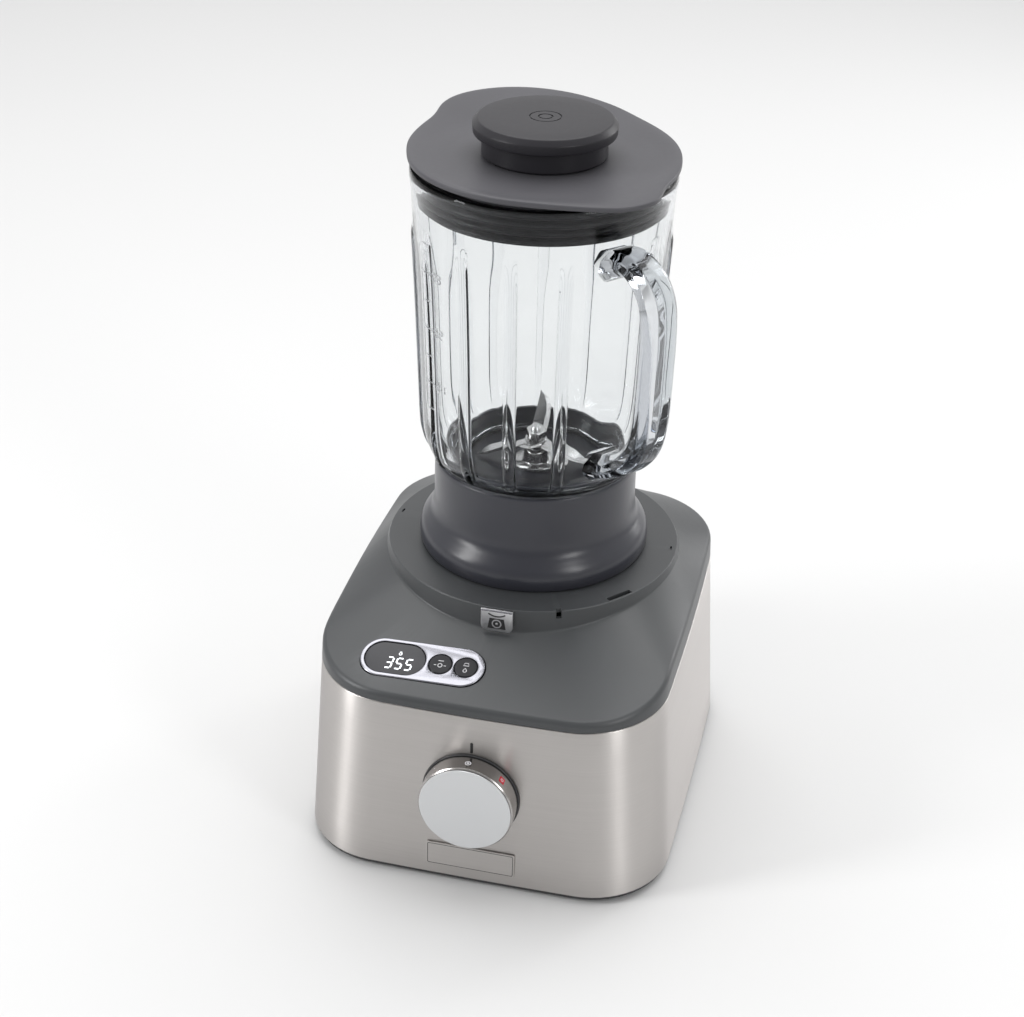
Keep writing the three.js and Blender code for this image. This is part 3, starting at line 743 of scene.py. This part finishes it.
def make_seat():
    rim = WELL_RADIUS - 0.9
    profile = fillet([
        (17.5, 140, 0), (42, 140, 0), (42, 146.4, 0), (rim, 146.4, 0.3), (rim, 149.3, 0.6), (39.5, 149.3, 0.6),
        (39, 142.5, 1.5), (20, 142.5, 1.5), (20, 149, 0.6), (17.5, 149, 0.6),
    ], 4)
    lugs = [about_axis(spun(block(4, 14, 3, 38, 0, 147.5, 0.5), angle)) for angle in (0, 120, 240)]
    turned_part("jug_seat", "seat_insert", profile, DARK_PLASTIC, joins=[merged(*lugs)])


# Flat marks, and the badge

def stroke(points, width, bottom, top, closed=False):
    """A flat line of a given width along 2D points, as thin slabs joined end to end."""
    path = [Vector(p) for p in points]
    count = len(path)
    left, right = [], []
    for i, point in enumerate(path):
        before = path[i - 1] if i or closed else point
        after = path[(i + 1) % count] if i < count - 1 or closed else point
        heading = (after - before).normalized()
        side = Vector((-heading.y, heading.x)) * width / 2
        left.append(point + side)
        right.append(point - side)
    rings = [[(*a, bottom), (*b, bottom), (*b, top), (*a, top)] for a, b in zip(right, left)]
    return skin(rings, looped=closed)


def ring_mark(radius, width, bottom, top, x=0.0, y=0.0, sides=32):
    return stroke(arc(radius, 0, 360 - 360 / sides, x, y, sides - 1), width, bottom, top, closed=True)


def make_badge():
    def outline(inset=0):
        side, top, bottom = 9 - inset, 7 - inset, inset - 6.8
        return fillet([(-side, top, 0.4), (-side, bottom, 4), (side, bottom, 4), (side, top, 0.4)], 8)
    corner = high("scale_badge")
    thick = (corner - low("scale_badge")).y
    stand = Matrix.Translation((middle("scale_badge").x, corner.y, corner.z - 7)) @ rotation(90, "X")
    part("scale_badge", "badge_plate", moved(slab(outline, 0, thick, 0.35, 4), stand), BADGE_METAL)
    lip = moved(block(17.4, 1.0, 0.5, 0, 6.3, thick + 0.1, 0.2), stand)
    detail("badge_lip", lip, "base", BEZEL_METAL)
    top = thick + 0.12
    body = [(-5.1, -4.9), (5.1, -4.9), (4.0, 1.6), (-4.0, 1.6)]
    scale_body = skin([[(x, y, thick - 0.05) for x, y in body], [(x, y, top) for x, y in body]])
    pan = stroke(arc(8, 234, 306, 0, 10.9), 0.8, thick - 0.05, top)
    detail("badge_mark", moved(merged(scale_body, pan), stand), "base", BLACK_INK)
    face = merged(ring_mark(2.4, 0.7, thick, top + 0.06, 0, -1.7),
                  shifted(slab(round_outline(0.7, 16), thick, top + 0.06, 0.02), 0, -1.7))
    detail("badge_dial_mark", moved(face, stand), "base", BADGE_METAL)


# Display

SEGMENTS = {"0": "abcdef", "1": "bc", "2": "abged", "3": "abgcd", "5": "afgcd"}


def digit(name, x, y, height, width, thickness, bottom, top, slant=0.12):
    """A seven-segment figure, leaning to the right."""
    w, h, t = width / 2, height / 2, thickness * 0.5
    ends = {
        "a": ((-w + t, h), (w - t, h)), "g": ((-w + t, 0), (w - t, 0)), "d": ((-w + t, -h), (w - t, -h)),
        "f": ((-w, t), (-w, h - t)), "b": ((w, t), (w, h - t)),
        "e": ((-w, -h + t), (-w, -t)), "c": ((w, -h + t), (w, -t)),
    }
    bars = []
    for segment in SEGMENTS[name]:
        (ax, ay), (bx, by) = ends[segment]
        path = [(x + ax + slant * ay, y + ay), (x + bx + slant * by, y + by)]
        bars.append(stroke(path, thickness, bottom, top))
    return merged(*bars)


def make_display():
    bezel_bottom, bezel_top = -4.7, 0.9
    outer = on_display(slab(stadium(DISPLAY_LENGTH, DISPLAY_WIDTH, 28), bezel_bottom, bezel_top, 0.7, 6))
    lens_hole = slab(stadium(LENS_LENGTH, LENS_WIDTH, 28), -9, 9)
    holes = [on_display(shifted(lens_hole, LENS_X))]
    for x in BUTTON_X.values():
        holes.append(on_display(rod(BUTTON_RADIUS + GAP, -9, 9, x, 0, 56)))
    bezel = part("display_bezel", "bezel_frame", outer, BEZEL_METAL, cuts=[merged(*holes)])
    bevel = bezel.modifiers.new("edges", "BEVEL")
    bevel.width = 0.25 * MM
    bevel.segments = 2
    bevel.limit_method = "ANGLE"
    bevel.angle_limit = radians(50)
    apply_modifiers(bezel)

    window_outline = stadium(LENS_LENGTH - 2 * GAP, LENS_WIDTH - 2 * GAP, 28)
    window = on_display(shifted(slab(window_outline, -2, 0.4, 0.3, 4), LENS_X))
    part("display_lens", "lens_window", window, WINDOW)
    relief = (0.36, 0.44)
    figures = [digit(name, LENS_X + x, -3.0, 7, 3.3, 0.82, *relief) for name, x in
               zip("355", (-2.6, 2.9, 8.4))]
    figures.append(ring_mark(0.75, 0.35, *relief, LENS_X + 2.2, 3.4))
    figures.append(stroke([(LENS_X + 1.6, 4.7), (LENS_X + 2.8, 4.7)], 0.35, *relief))
    detail("display_figures", on_display(merged(*figures)), "base", LIT)

    for node, x in BUTTON_X.items():
        profile = [(0, -6.5), (6.9, -6.5), (6.9, -5.0), (BUTTON_RADIUS, -5.0), (BUTTON_RADIUS, 0.6)]
        profile += [(5.9, 1.05), (4.6, 1.12), (3.0, 1.02), (0, 0.96)]
        part(node, "key_" + node, on_display(shifted(turned(profile, 64), x)), KEY_PLASTIC)
    zero_x, unit_x = BUTTON_X["zero_button"], BUTTON_X["unit_button"]
    line, relief, high_relief = 0.4, (1.0, 1.08), (1.02, 1.1)
    zero = merged(stroke([(zero_x - 1.5, 2.1), (zero_x + 1.5, 2.1)], line, *high_relief),
                  ring_mark(1.15, line, *relief, zero_x, -0.9),
                  stroke([(zero_x - 3.4, -0.9), (zero_x - 2.0, -0.9)], line, *relief),
                  stroke([(zero_x + 2.0, -0.9), (zero_x + 3.4, -0.9)], line, *relief))
    detail("zero_key_mark", on_display(zero), "zero_key", WHITE_INK)
    weight = [(unit_x - 1.5, 1.0), (unit_x - 1.0, 2.7), (unit_x + 1.0, 2.7), (unit_x + 1.5, 1.0)]
    drop = [(unit_x, -0.6), *arc(0.95, 40, -220, unit_x, -2.3, 16)]
    unit = merged(*[stroke(outline, line, *high_relief, closed=True) for outline in (weight, drop)])
    detail("unit_key_mark", on_display(unit), "unit_key", WHITE_INK)


# Speed dial

DIAL_AXIS = Vector(JOINTS["dial_turn"]["axis"]).normalized()
DIAL_PLACE = Vector(JOINTS["dial_turn"]["pos_m"]) / MM


def on_dial(shape):
    """Puts a shape on the front wall at the dial's axis, its +Z out of the wall and its +Y up."""
    return moved(shape, facing(DIAL_AXIS, DIAL_PLACE))


def on_dial_rim(shape, angle):
    """Wraps a flat shape round the rim, at an angle from the top that is clockwise as the user sees it."""
    verts, faces = shape
    middle_turn = radians(90 - angle)
    return [polar(DIAL_RADIUS + z, middle_turn - x / DIAL_RADIUS, y) for x, y, z in verts], faces


def rim_patch(angle, width, start, end, lift=0.07, steps=10):
    """A thin pad with its corners cut."""
    rings = []
    for k in range(steps + 1):
        x = lerp(-width / 2, width / 2, k / steps)
        corner = 0 if 0 < k < steps else 0.35
        near, far = start + corner, end - corner
        rings.append([(x, near, -0.1), (x, far, -0.1), (x, far, lift), (x, near, lift)])
    return on_dial_rim(skin(rings), angle)


def rim_ring(angle, radius, centre, width=0.45, lift=0.07):
    return on_dial_rim(ring_mark(radius, width, -0.1, lift, 0, centre, 24), angle)


def make_dial():
    ring = fillet([(5.2, 0.3, 0), (DIAL_RADIUS + 0.9, 0.3, 0.1), (DIAL_RADIUS + 0.5, 1.4, 0.4), (5.2, 1.7, 0)])
    part("dial_ring", "dial_backing", on_dial(turned(ring)), DARK_PLASTIC)
    rim_top = DIAL_PROUD - 0.9
    knob = fillet([
        (3.2, 2.6, 0), (7, 2.6, 0), (7, 10.4, 0.5), (DIAL_RADIUS - 2.2, 10.4, 0.5), (DIAL_RADIUS - 2.2, 2, 0),
        (DIAL_RADIUS, 2, 0.3), (DIAL_RADIUS, rim_top - 0.7, 0.25), (DIAL_RADIUS - 0.7, rim_top, 0.1),
        (3.2, rim_top, 0),
    ])
    part("speed_dial", "dial_rim", on_dial(turned(knob, 128)), CHROME)
    edge = DIAL_RADIUS - 0.95
    cap = [(0, rim_top + 0.3), (edge, rim_top + 0.3), (edge, DIAL_PROUD - 0.3), (edge - 0.12, DIAL_PROUD - 0.1),
           (edge - 0.35, DIAL_PROUD), (edge - 1, DIAL_PROUD), (0, DIAL_PROUD)]
    face_metal = spun_metal("dial_face_metal", (0.65, 0.66, 0.67), 0.34, DIAL_PLACE)
    part("dial_cap", "dial_face", on_dial(turned(cap, 128)), face_metal)

    off_mark = merged(rim_ring(0, 1.5, 7.2), rim_ring(0, 0.5, 7.2))
    detail("off_mark", on_dial(off_mark), "dial", WHITE_INK)
    detail("off_pointer", on_dial(rim_patch(0, 0.8, 9.6, 10.8)), "dial", BLACK_INK)
    detail("pulse_mark", on_dial(rim_patch(45, 3.6, 4.6, 9.0)), "dial", RED_ENAMEL)
    detail("pulse_symbol", on_dial(rim_ring(45, 0.8, 6.8, 0.4, 0.11)), "dial", WHITE_INK)
    speeds = [rim_patch(angle, 0.45, 6.2, 6.2 + 0.5 + (i + 1) * 0.5, 0.05) for i, angle in
              enumerate((-45, -63, -81, -99, -117, -135))]
    detail("speed_marks", on_dial(merged(*speeds)), "dial", WHITE_INK)
    tick = slab(panel(1.5, 6.6, 0.6), 0.05, 0.3, 0.1)
    detail("index_tick", on_dial(shifted(tick, 0, 31.4)), "base", BLACK_INK)


def make_name_plate():
    """A blank plate, with a fine line engraved round its edge; a black line laid in that groove is painted shade.
    """
    width, _, height = high("name_plate") - low("name_plate")
    lean = degrees(asin(DIAL_AXIS.z))

    def stand(shape):
        return shifted(spun(shape, 90 - lean, "X"), *middle("name_plate"))

    groove = rim_loop(panel(width - 1.6, height - 1.6, 1.2), ((0.28, 0), (0.6, 0), (0.6, 0.35), (0.28, 0.35)))
    part("name_plate", "name_plate_blank", stand(slab(panel(width, height, 1.6), -0.4, 0.4, 0.2)), STEEL,
         cuts=[stand(groove)])
    # Painted shade: a black line laid in the groove, standing in for the shade that falls in the gap round the
    # plate.
    line = rim_loop(panel(width - 1.5, height - 1.5, 1.2), ((0.3, 0.05), (0.41, 0.05), (0.41, 0.4), (0.3, 0.4)))
    detail("name_plate_groove_painted_shade", stand(line), "base", BLACK_INK)


# Blade unit

def make_collar():
    outside = spline([(64.9, 151.5), (65.4, 154.5), (65.3, 158.5), (64.0, 162.5), (61.4, 166.2), (58.9, 169.6),
                      (57.6, 174), (57.2, 180), (57.1, 191), (57, COLLAR_TOP - 0.9)], 5)
    profile = [(62.2, COLLAR_BOTTOM), (64.6, COLLAR_BOTTOM), *outside,
               (56.8, COLLAR_TOP - 0.3), (56.4, COLLAR_TOP), (54.3, COLLAR_TOP), (53.8, COLLAR_TOP - 0.5),
               (53.8, 193.2), (11.3, 193.2), (11.3, 190), (51, 190), (54, 172), (58, 163.5), (61, 157)]
    turned_part("blade_collar", "collar", profile, COLLAR_PLASTIC, 160, 40)
    seal = fillet([(53.2, 193.5, 0.6), (53.2, 195.4, 0.6), (45.5, 195.4, 0.6), (45.5, 193.5, 0.6)], 3)
    turned_part("jug_seal", "seal_ring", seal, SEAL_RUBBER)
    bush = fillet([(4.1, 172, 0), (11, 172, 0), (11, 193.5, 0), (17, 193.5, 0.4), (17, 196.6, 1), (9.4, 197.8, 1.5),
                   (8, 206, 0.8), (4.1, 206, 0.3)], 4)
    turned_part("blade_bush", "bush", bush, CUTTER, 64)


def make_couplings():
    bottom, top = low("drive_coupling").z, high("drive_coupling").z

    def lobes(inset=0):
        turns = [2 * pi * k / 96 for k in range(96)]
        return [polar(10.5 - inset + 1.5 * cos(6 * angle), angle) for angle in turns]

    part("drive_coupling", "coupling_dog", about_axis(slab(lobes, bottom, top, 0.8, 4)), DARK_PLASTIC,
         cuts=[about_axis(rod(5.1, bottom - 1, top + 1, steps=32))])
    cup = fillet([(13.6, 151.5, 0.3), (18.5, 151.5, 0.6), (18.5, 166.5, 1), (9, 171.5, 0.5), (4.1, 171.5, 0),
                  (4.1, 163.9, 0), (13.6, 163.9, 0.3)], 4)
    turned_part("driven_coupling", "coupling_cup", cup, DARK_PLASTIC, 72)


BLADE_THICKNESS = 1.6


def blade_arms(height, bend, reach, turn):
    """The arms of a two-armed cutter: bent from the flat hub, their leading edges ground to a bevel."""
    arms = []
    for half in (0, 180):
        rings = []
        for along, front, back in ((-2, -6, 6), (8, -6, 5.4), (reach - 15, -6, 4.6), (reach - 9, -5.1, 4.3),
                                   (reach - 4, -2.6, 4.1), (reach - 1, 1.4, 4.0), (reach, 3.2, 3.9)):
            ground = min(2.6, (back - front) * 0.45)
            rings.append([(along, front, 0.15), (along, back, 0), (along, back, BLADE_THICKNESS),
                          (along, front + ground, BLADE_THICKNESS), (along, front, 0.35)])
        arm = shifted(spun(skin(rings), bend, "Y"), 7.4, 0, height)
        arms.append(about_axis(spun(arm, half + turn)))
    return arms


def make_blades():
    for node, height, bend, reach, turn in (("lower_blade", 208.3, 24, 34, 0), ("upper_blade", 211.6, -24, 31, 90)):
        top = height + BLADE_THICKNESS
        hub = fillet([(4.6, height, 0), (8, height, 0.2), (8, top, 0.3), (4.6, top, 0.2)], 3)
        arms = blade_arms(height, bend, reach, turn)
        turned_part(node, "cutter_" + node, hub, CUTTER, 48, 20, joins=arms)

    def hexagon(inset=0):
        return [polar(7.5 - inset, k * pi / 3) for k in range(6)]

    part("blade_nut", "lock_nut", about_axis(slab(hexagon, 213.8, 218.5, 0.5)), CUTTER,
         cuts=[about_axis(rod(4.1, 210, 221, steps=32))])
    shaft = [(0, 164.5), (4, 164.5), (4, 219.8), (3.2, 221), (0, 221)]
    turned_part("blade_shaft", "spindle", shaft, CUTTER, 48)


# Glass jug

RIB_PITCH = 360 / RIBS
RIB_HALF = 2.9  # degrees


def rib_share(away, height):
    """1 along the crest of a moulded rib, falling to 0 at its edges; away is in degrees from the crest."""
    across = max(0, 1 - (away / RIB_HALF) ** 2)
    return across * (1 - smooth(height, 336, 345)) * smooth(height, 204.6, 208)


def panel_share(away, height):
    """1 in the middle of the flat between two ribs."""
    return sin(pi * away / RIB_PITCH) ** 2 * (1 - smooth(height, 325, 345)) * smooth(height, 212, 232)


def jug_angles():
    """Each angle round the wall, how far it is past a rib's crest, and 0 for the rib that the handle takes."""
    aways = [-3.2 + 6.4 * k / 20 for k in range(20)] + [3.2 + (RIB_PITCH - 6.4) * k / 10 for k in range(10)]
    return [(radians(HANDLE_ANGLE + rib * RIB_PITCH + away), away, min(rib, 1))
            for rib in range(RIBS) for away in aways]


def make_jug():
    glass_bottom = low("glass_jug").z
    outside = [(52.6, glass_bottom + 0.8), (52.6, 203.5), (53.6, 204.9), *spline([
        (57.4, 206.4), (60.6, 211.5), (63, 219), (64.2, 228), (65.1, 252), (67, 304), (69.2, 350), (69.9, 362),
        (70.6, 368), (70.6, JUG_TOP - 1.2)], 6), (70.2, JUG_TOP - 0.3), (69.4, JUG_TOP)]
    inside = [(68.2, JUG_TOP), (67.4, JUG_TOP - 0.4), (67, JUG_TOP - 1.2), *spline([
        (66.7, 369), (66.2, 362), (65.4, 345), (63.2, 304), (61.2, 252), (60.4, 236), (59.4, 226), (56.6, 216),
        (52, 209), (47.4, 204.6), (46.1, 200), (46, glass_bottom + 0.8)], 6), (46.8, glass_bottom),
        (51.8, glass_bottom)]
    outer_count = len(outside)
    rings = []
    for i, (radius, height) in enumerate([*outside, *inside]):
        ring = []
        for angle, away, ribbed in jug_angles():
            rib = ribbed * rib_share(away, height)
            r = radius + 1.3 * rib - 0.5 * panel_share(away, height) if i < outer_count else radius - rib
            ring.append(polar(r, angle, height))
        rings.append(ring)
    part("glass_jug", "jug_glass", about_axis(skin(rings, looped=True)), GLASS, 40,
         joins=[about_axis(spun(handle_shape(), HANDLE_ANGLE))], others=["jug_handle"])


def handle_shape():
    """The handle: an eight-sided bar bent out from the wall, and swelling where it meets the glass."""
    path = spline([(64.6, 342), (79, 347.5), (92, 344), (101, 334), (103.5, 318), (103, 290), (101.5, 266),
                   (97, 251), (87, 239), (74, 230), (61.6, 225.5)], 10)
    corners = [(-10, -2.5), (-6, -6.5), (6, -6.5), (10, -2.5), (10, 2.5), (6, 6.5), (-6, 6.5), (-10, 2.5)]
    section = fillet([(x, y, 3) for x, y in corners], 5)
    rings = []
    swell_steps = 11
    last = len(path) - 1
    for i, point in enumerate(path):
        heading = (path[min(i + 1, last)] - path[max(i - 1, 0)]).normalized()
        normal = Vector((-heading.y, heading.x))
        swell = 1 + 0.3 * max(0, 1 - min(i, last - i) / swell_steps) ** 2
        rings.append([(point.x + normal.x * v * swell, u * swell, point.y + normal.y * v * swell)
                      for u, v in section])
    return skin(rings)


def wall_radius(height):
    """The jug's outside radius between ribs, from the base to the mouth."""
    return lerp(64.7, 69.6, (height - 240) / (356 - 240))


def make_volume_marks():
    """Raised graduation lines with plain figures, on the wall to the left of the front."""
    centre = -138
    strokes = []

    def on_wall(shape, angle, height):
        verts, faces = shape
        placed = []
        for x, y, z in verts:
            r = wall_radius(height + y) + z
            placed.append(polar(r, radians(angle) + x / r, height + y))
        return placed, faces

    lowest, highest, pitch = 246, 342, 16
    for i, height in enumerate(range(lowest, highest + 1, pitch)):
        long_line = i % 2 == 1
        half = 4.5 if long_line else 2.6
        bar = [(lerp(-half, half, k / 10), 0) for k in range(11)]
        strokes.append(on_wall(stroke(bar, 0.8, 0.1, 0.5), centre, height))
        if long_line:
            name = "0" + str(i // 2 + 1)
            for k, figure in enumerate(name):
                shape = digit(figure, 8 + 4.4 * k, 0, 4.6, 2.6, 0.7, 0.1, 0.5, 0)
                strokes.append(on_wall(shape, centre, height))
    detail("volume_marks", about_axis(merged(*strokes)), "jug", FROSTED)


# Lid and filler cap

# The lid's edge as (angle, radius): a pouring lip opposite the handle, and a thumb tab over it.
LID_EDGE = (
    (-150, 70.5), (-125, 69.2), (-100, 68.8), (-82, 69.6), (-70, 72.3), (-60, 76.5), (-50, 81.8), (-42, 83.2),
    (-34, 82.2), (-27, 77.3), (-20, 73.4), (-8, 72), (13, 72), (39, 75.4), (61, 80), (78, 87.3), (95, 94),
    (110, 98), (122, 98.5), (133, 96), (141, 91), (150, 82.5), (160, 78.5), (180, 74.3), (193, 72),
)


def bump(angle, centre, half_width):
    away = abs((angle - centre + 180) % 360 - 180)
    return cos(radians(away / half_width * 90)) ** 2 if away < half_width else 0


LID_CURVE = spline([(-167, 72), *LID_EDGE, (210, 70.5), (235, 69.2)])


def lid_reach(angle):
    for near, far in zip(LID_CURVE, LID_CURVE[1:]):
        if near.x <= angle <= far.x:
            return lerp(near.y, far.y, (angle - near.x) / (far.x - near.x))


LID_FLAT = 62  # the lid is round out to this radius, and from there it's drawn out to its edge
LID_RIM = 72  # the radius in the lid's section that lies on its edge


def lid_ring(radius, height):
    """A ring of the lid, which curls up at the pouring lip."""
    ring = []
    for angle in range(-150, 210, 2):
        r = radius
        if radius > LID_FLAT:
            r = lerp(LID_FLAT, lid_reach(angle), (radius - LID_FLAT) / (LID_RIM - LID_FLAT))
        lift = 5.3 * bump(angle, SPOUT_ANGLE, 85) * smooth(r, LID_FLAT, 98)
        ring.append(polar(r, radians(angle), height + lift))
    return ring


def make_lid():
    profile = fillet([
        (31.2, LID_TOP, 0.6), (36, LID_TOP, 60), (50, LID_TOP - 0.9, 90), (LID_FLAT, LID_TOP - 0.8, 60),
        (69, LID_TOP - 0.1, 12), (LID_RIM, LID_TOP - 0.5, 1.2), (71.9, LID_BOTTOM + 1.4, 0.5),
        (69, LID_BOTTOM + 0.5, 1), (65.7, LID_BOTTOM, 0), (60.4, LID_BOTTOM, 0.5), (60.4, 354.8, 0.5),
        (57.6, 354.8, 0.5), (57.6, LID_BOTTOM, 1), (33.6, LID_BOTTOM, 1), (33.6, 366, 0.5), (31.2, 366, 0.5),
    ], 4)
    plate = skin([lid_ring(radius, height) for radius, height in profile], looped=True)
    part("lid", "lid_plate", about_axis(plate), LID_PLASTIC, 40)

    ribs = []
    for k in range(4):
        z = 355.2 + 4.3 * k
        ribs += [(63.4, z), (64.6, z + 0.5), (65.6, z + 1.7), (65.6, z + 2.2), (64.6, z + 3.2), (63.4, z + 3.7)]
    seal = [(60.7, 354.4), (63.2, 354.4), *ribs, (63.2, 372), (60.7, 372)]
    turned_part("lid_seal", "ribbed_seal", seal, SEAL_RUBBER, 160, 50)


def make_cap():
    shell = fillet([
        (26, 356, 0), (28.5, 356, 0.4), (30.6, 362, 1), (30.6, LID_TOP + 0.3, 0), (33.2, LID_TOP + 1.2, 0.5),
        (32.8, 390.8, 1.2), (CAP_RADIUS - 0.4, 391.6, 1.2), (CAP_RADIUS, 396.6, 1.4),
        (CAP_RADIUS - 2.6, CAP_TOP - 0.4, 1.6), (CAP_RADIUS - 14, CAP_TOP, 0), (0, CAP_TOP, 0),
    ], 5)
    profile = [(0, CAP_TOP - 3), (28, CAP_TOP - 3), (28, 364), *shell]
    floor = CAP_TOP - 0.45
    rings = [about_axis(ring_mark(radius, width, floor, CAP_TOP + 1)) for radius, width in ((8.2, 0.7), (3.6, 0.9))]
    turned_part("filler_cap", "cap_body", profile, CAP_PLASTIC_PAINTED_SHADE, 144, 40, cuts=rings)


# Pieces inside, kept as the frame has them

KEPT = (
    (BOARD, "display_board power_board"),
    (DARK_PLASTIC, "zero_switch unit_switch dial_switch cooling_fan interlock_pin interlock_switch"),
    (TURNED, "dial_shaft motor_stator motor_shaft motor_pulley drive_shaft lower_bearing upper_bearing"),
    (CASTING, "motor_bracket drive_pulley load_cell_front_left load_cell_front_right load_cell_rear_left"
              " load_cell_rear_right"),
    (WINDING, "motor_armature"),
    (RUBBER, "drive_belt"),
)


def finish_kept_nodes():
    for material, nodes in KEPT:
        for node in nodes.split():
            mesh = frame["nodes"][node].data
            mesh.materials.clear()
            mesh.materials.append(material)


# Floor, light and camera

def make_stage():
    half = 60000  # far enough that its edge meets the horizon
    square = [(-half, -half), (half, -half), (half, half), (-half, half)]
    floor = make_object("floor", skin([[(x, y, z) for x, y in square] for z in (-5, 0)]))
    floor.location.z = -0.0001
    pale = Look("pale_floor", (0.64, 0.64, 0.64), 0.6)
    pale.shade(pale.noise(0.002, 1.0), 0.005)
    floor.data.materials.append(pale.material)

    world = bpy.data.worlds.new("studio")
    bpy.context.scene.world = world
    world.use_nodes = True
    tree = world.node_tree
    heading = add_node(tree, "SeparateXYZ", Vector=add_node(tree, "TexCoord").outputs["Generated"])
    glow = add_node(tree, "MapRange", Value=heading.outputs["Y"], From_Min=-1.0, From_Max=0.4, To_Min=0.4,
                    To_Max=0.85)
    glow.interpolation_type = "SMOOTHSTEP"
    tree.links.new(glow.outputs["Result"], tree.nodes["Background"].inputs["Strength"])
    tree.nodes["Background"].inputs["Color"].default_value = (1, 1, 1, 1)


def soft_light(name, place, target, size, power):
    data = bpy.data.lights.new(name, "AREA")
    data.shape = "RECTANGLE"
    data.size, data.size_y = size
    data.energy = power
    light = new_object(name, data)
    light.location = place
    light.rotation_euler = (Vector(place) - Vector(target)).to_track_quat("Z", "Y").to_euler()


def make_lights():
    top = (0, 0, 0.25)
    soft_light("overhead", (-0.1, 0.75, 2.4), top, (2.4, 2.2), 44)
    soft_light("left_box", (-1.42, -0.85, 0.95), top, (0.36, 1.1), 15)
    soft_light("right_box", (1.35, -0.95, 0.9), top, (0.4, 0.9), 7)
    soft_light("right_rim", (1.0, 1.3, 0.7), top, (0.4, 0.8), 5)


def make_camera():
    azimuth, elevation, roll = 13.32, 30.08, 1.3
    distance = 1.1051
    target = Vector((-8.89, CASE_Y - 0.91, 174.92)) * MM
    data = bpy.data.cameras.new("camera")
    data.lens = 68.62
    data.sensor_width = 36
    camera = new_object("camera", data)
    turn = rotation(azimuth, "Z") @ rotation(90 - elevation, "X") @ rotation(roll, "Z")
    camera.matrix_world = Matrix.Translation(target) @ turn @ Matrix.Translation((0, 0, distance))
    bpy.context.scene.camera = camera


for make in (make_camera, make_case, make_inlet, make_skirt, make_feet, make_cover, make_seat, make_badge,
             make_display, make_dial, make_name_plate, make_collar, make_couplings, make_blades, make_jug,
             make_volume_marks, make_lid, make_cap, finish_kept_nodes, make_stage, make_lights):
    make()
bpy.context.scene.view_settings.view_transform = "Standard"
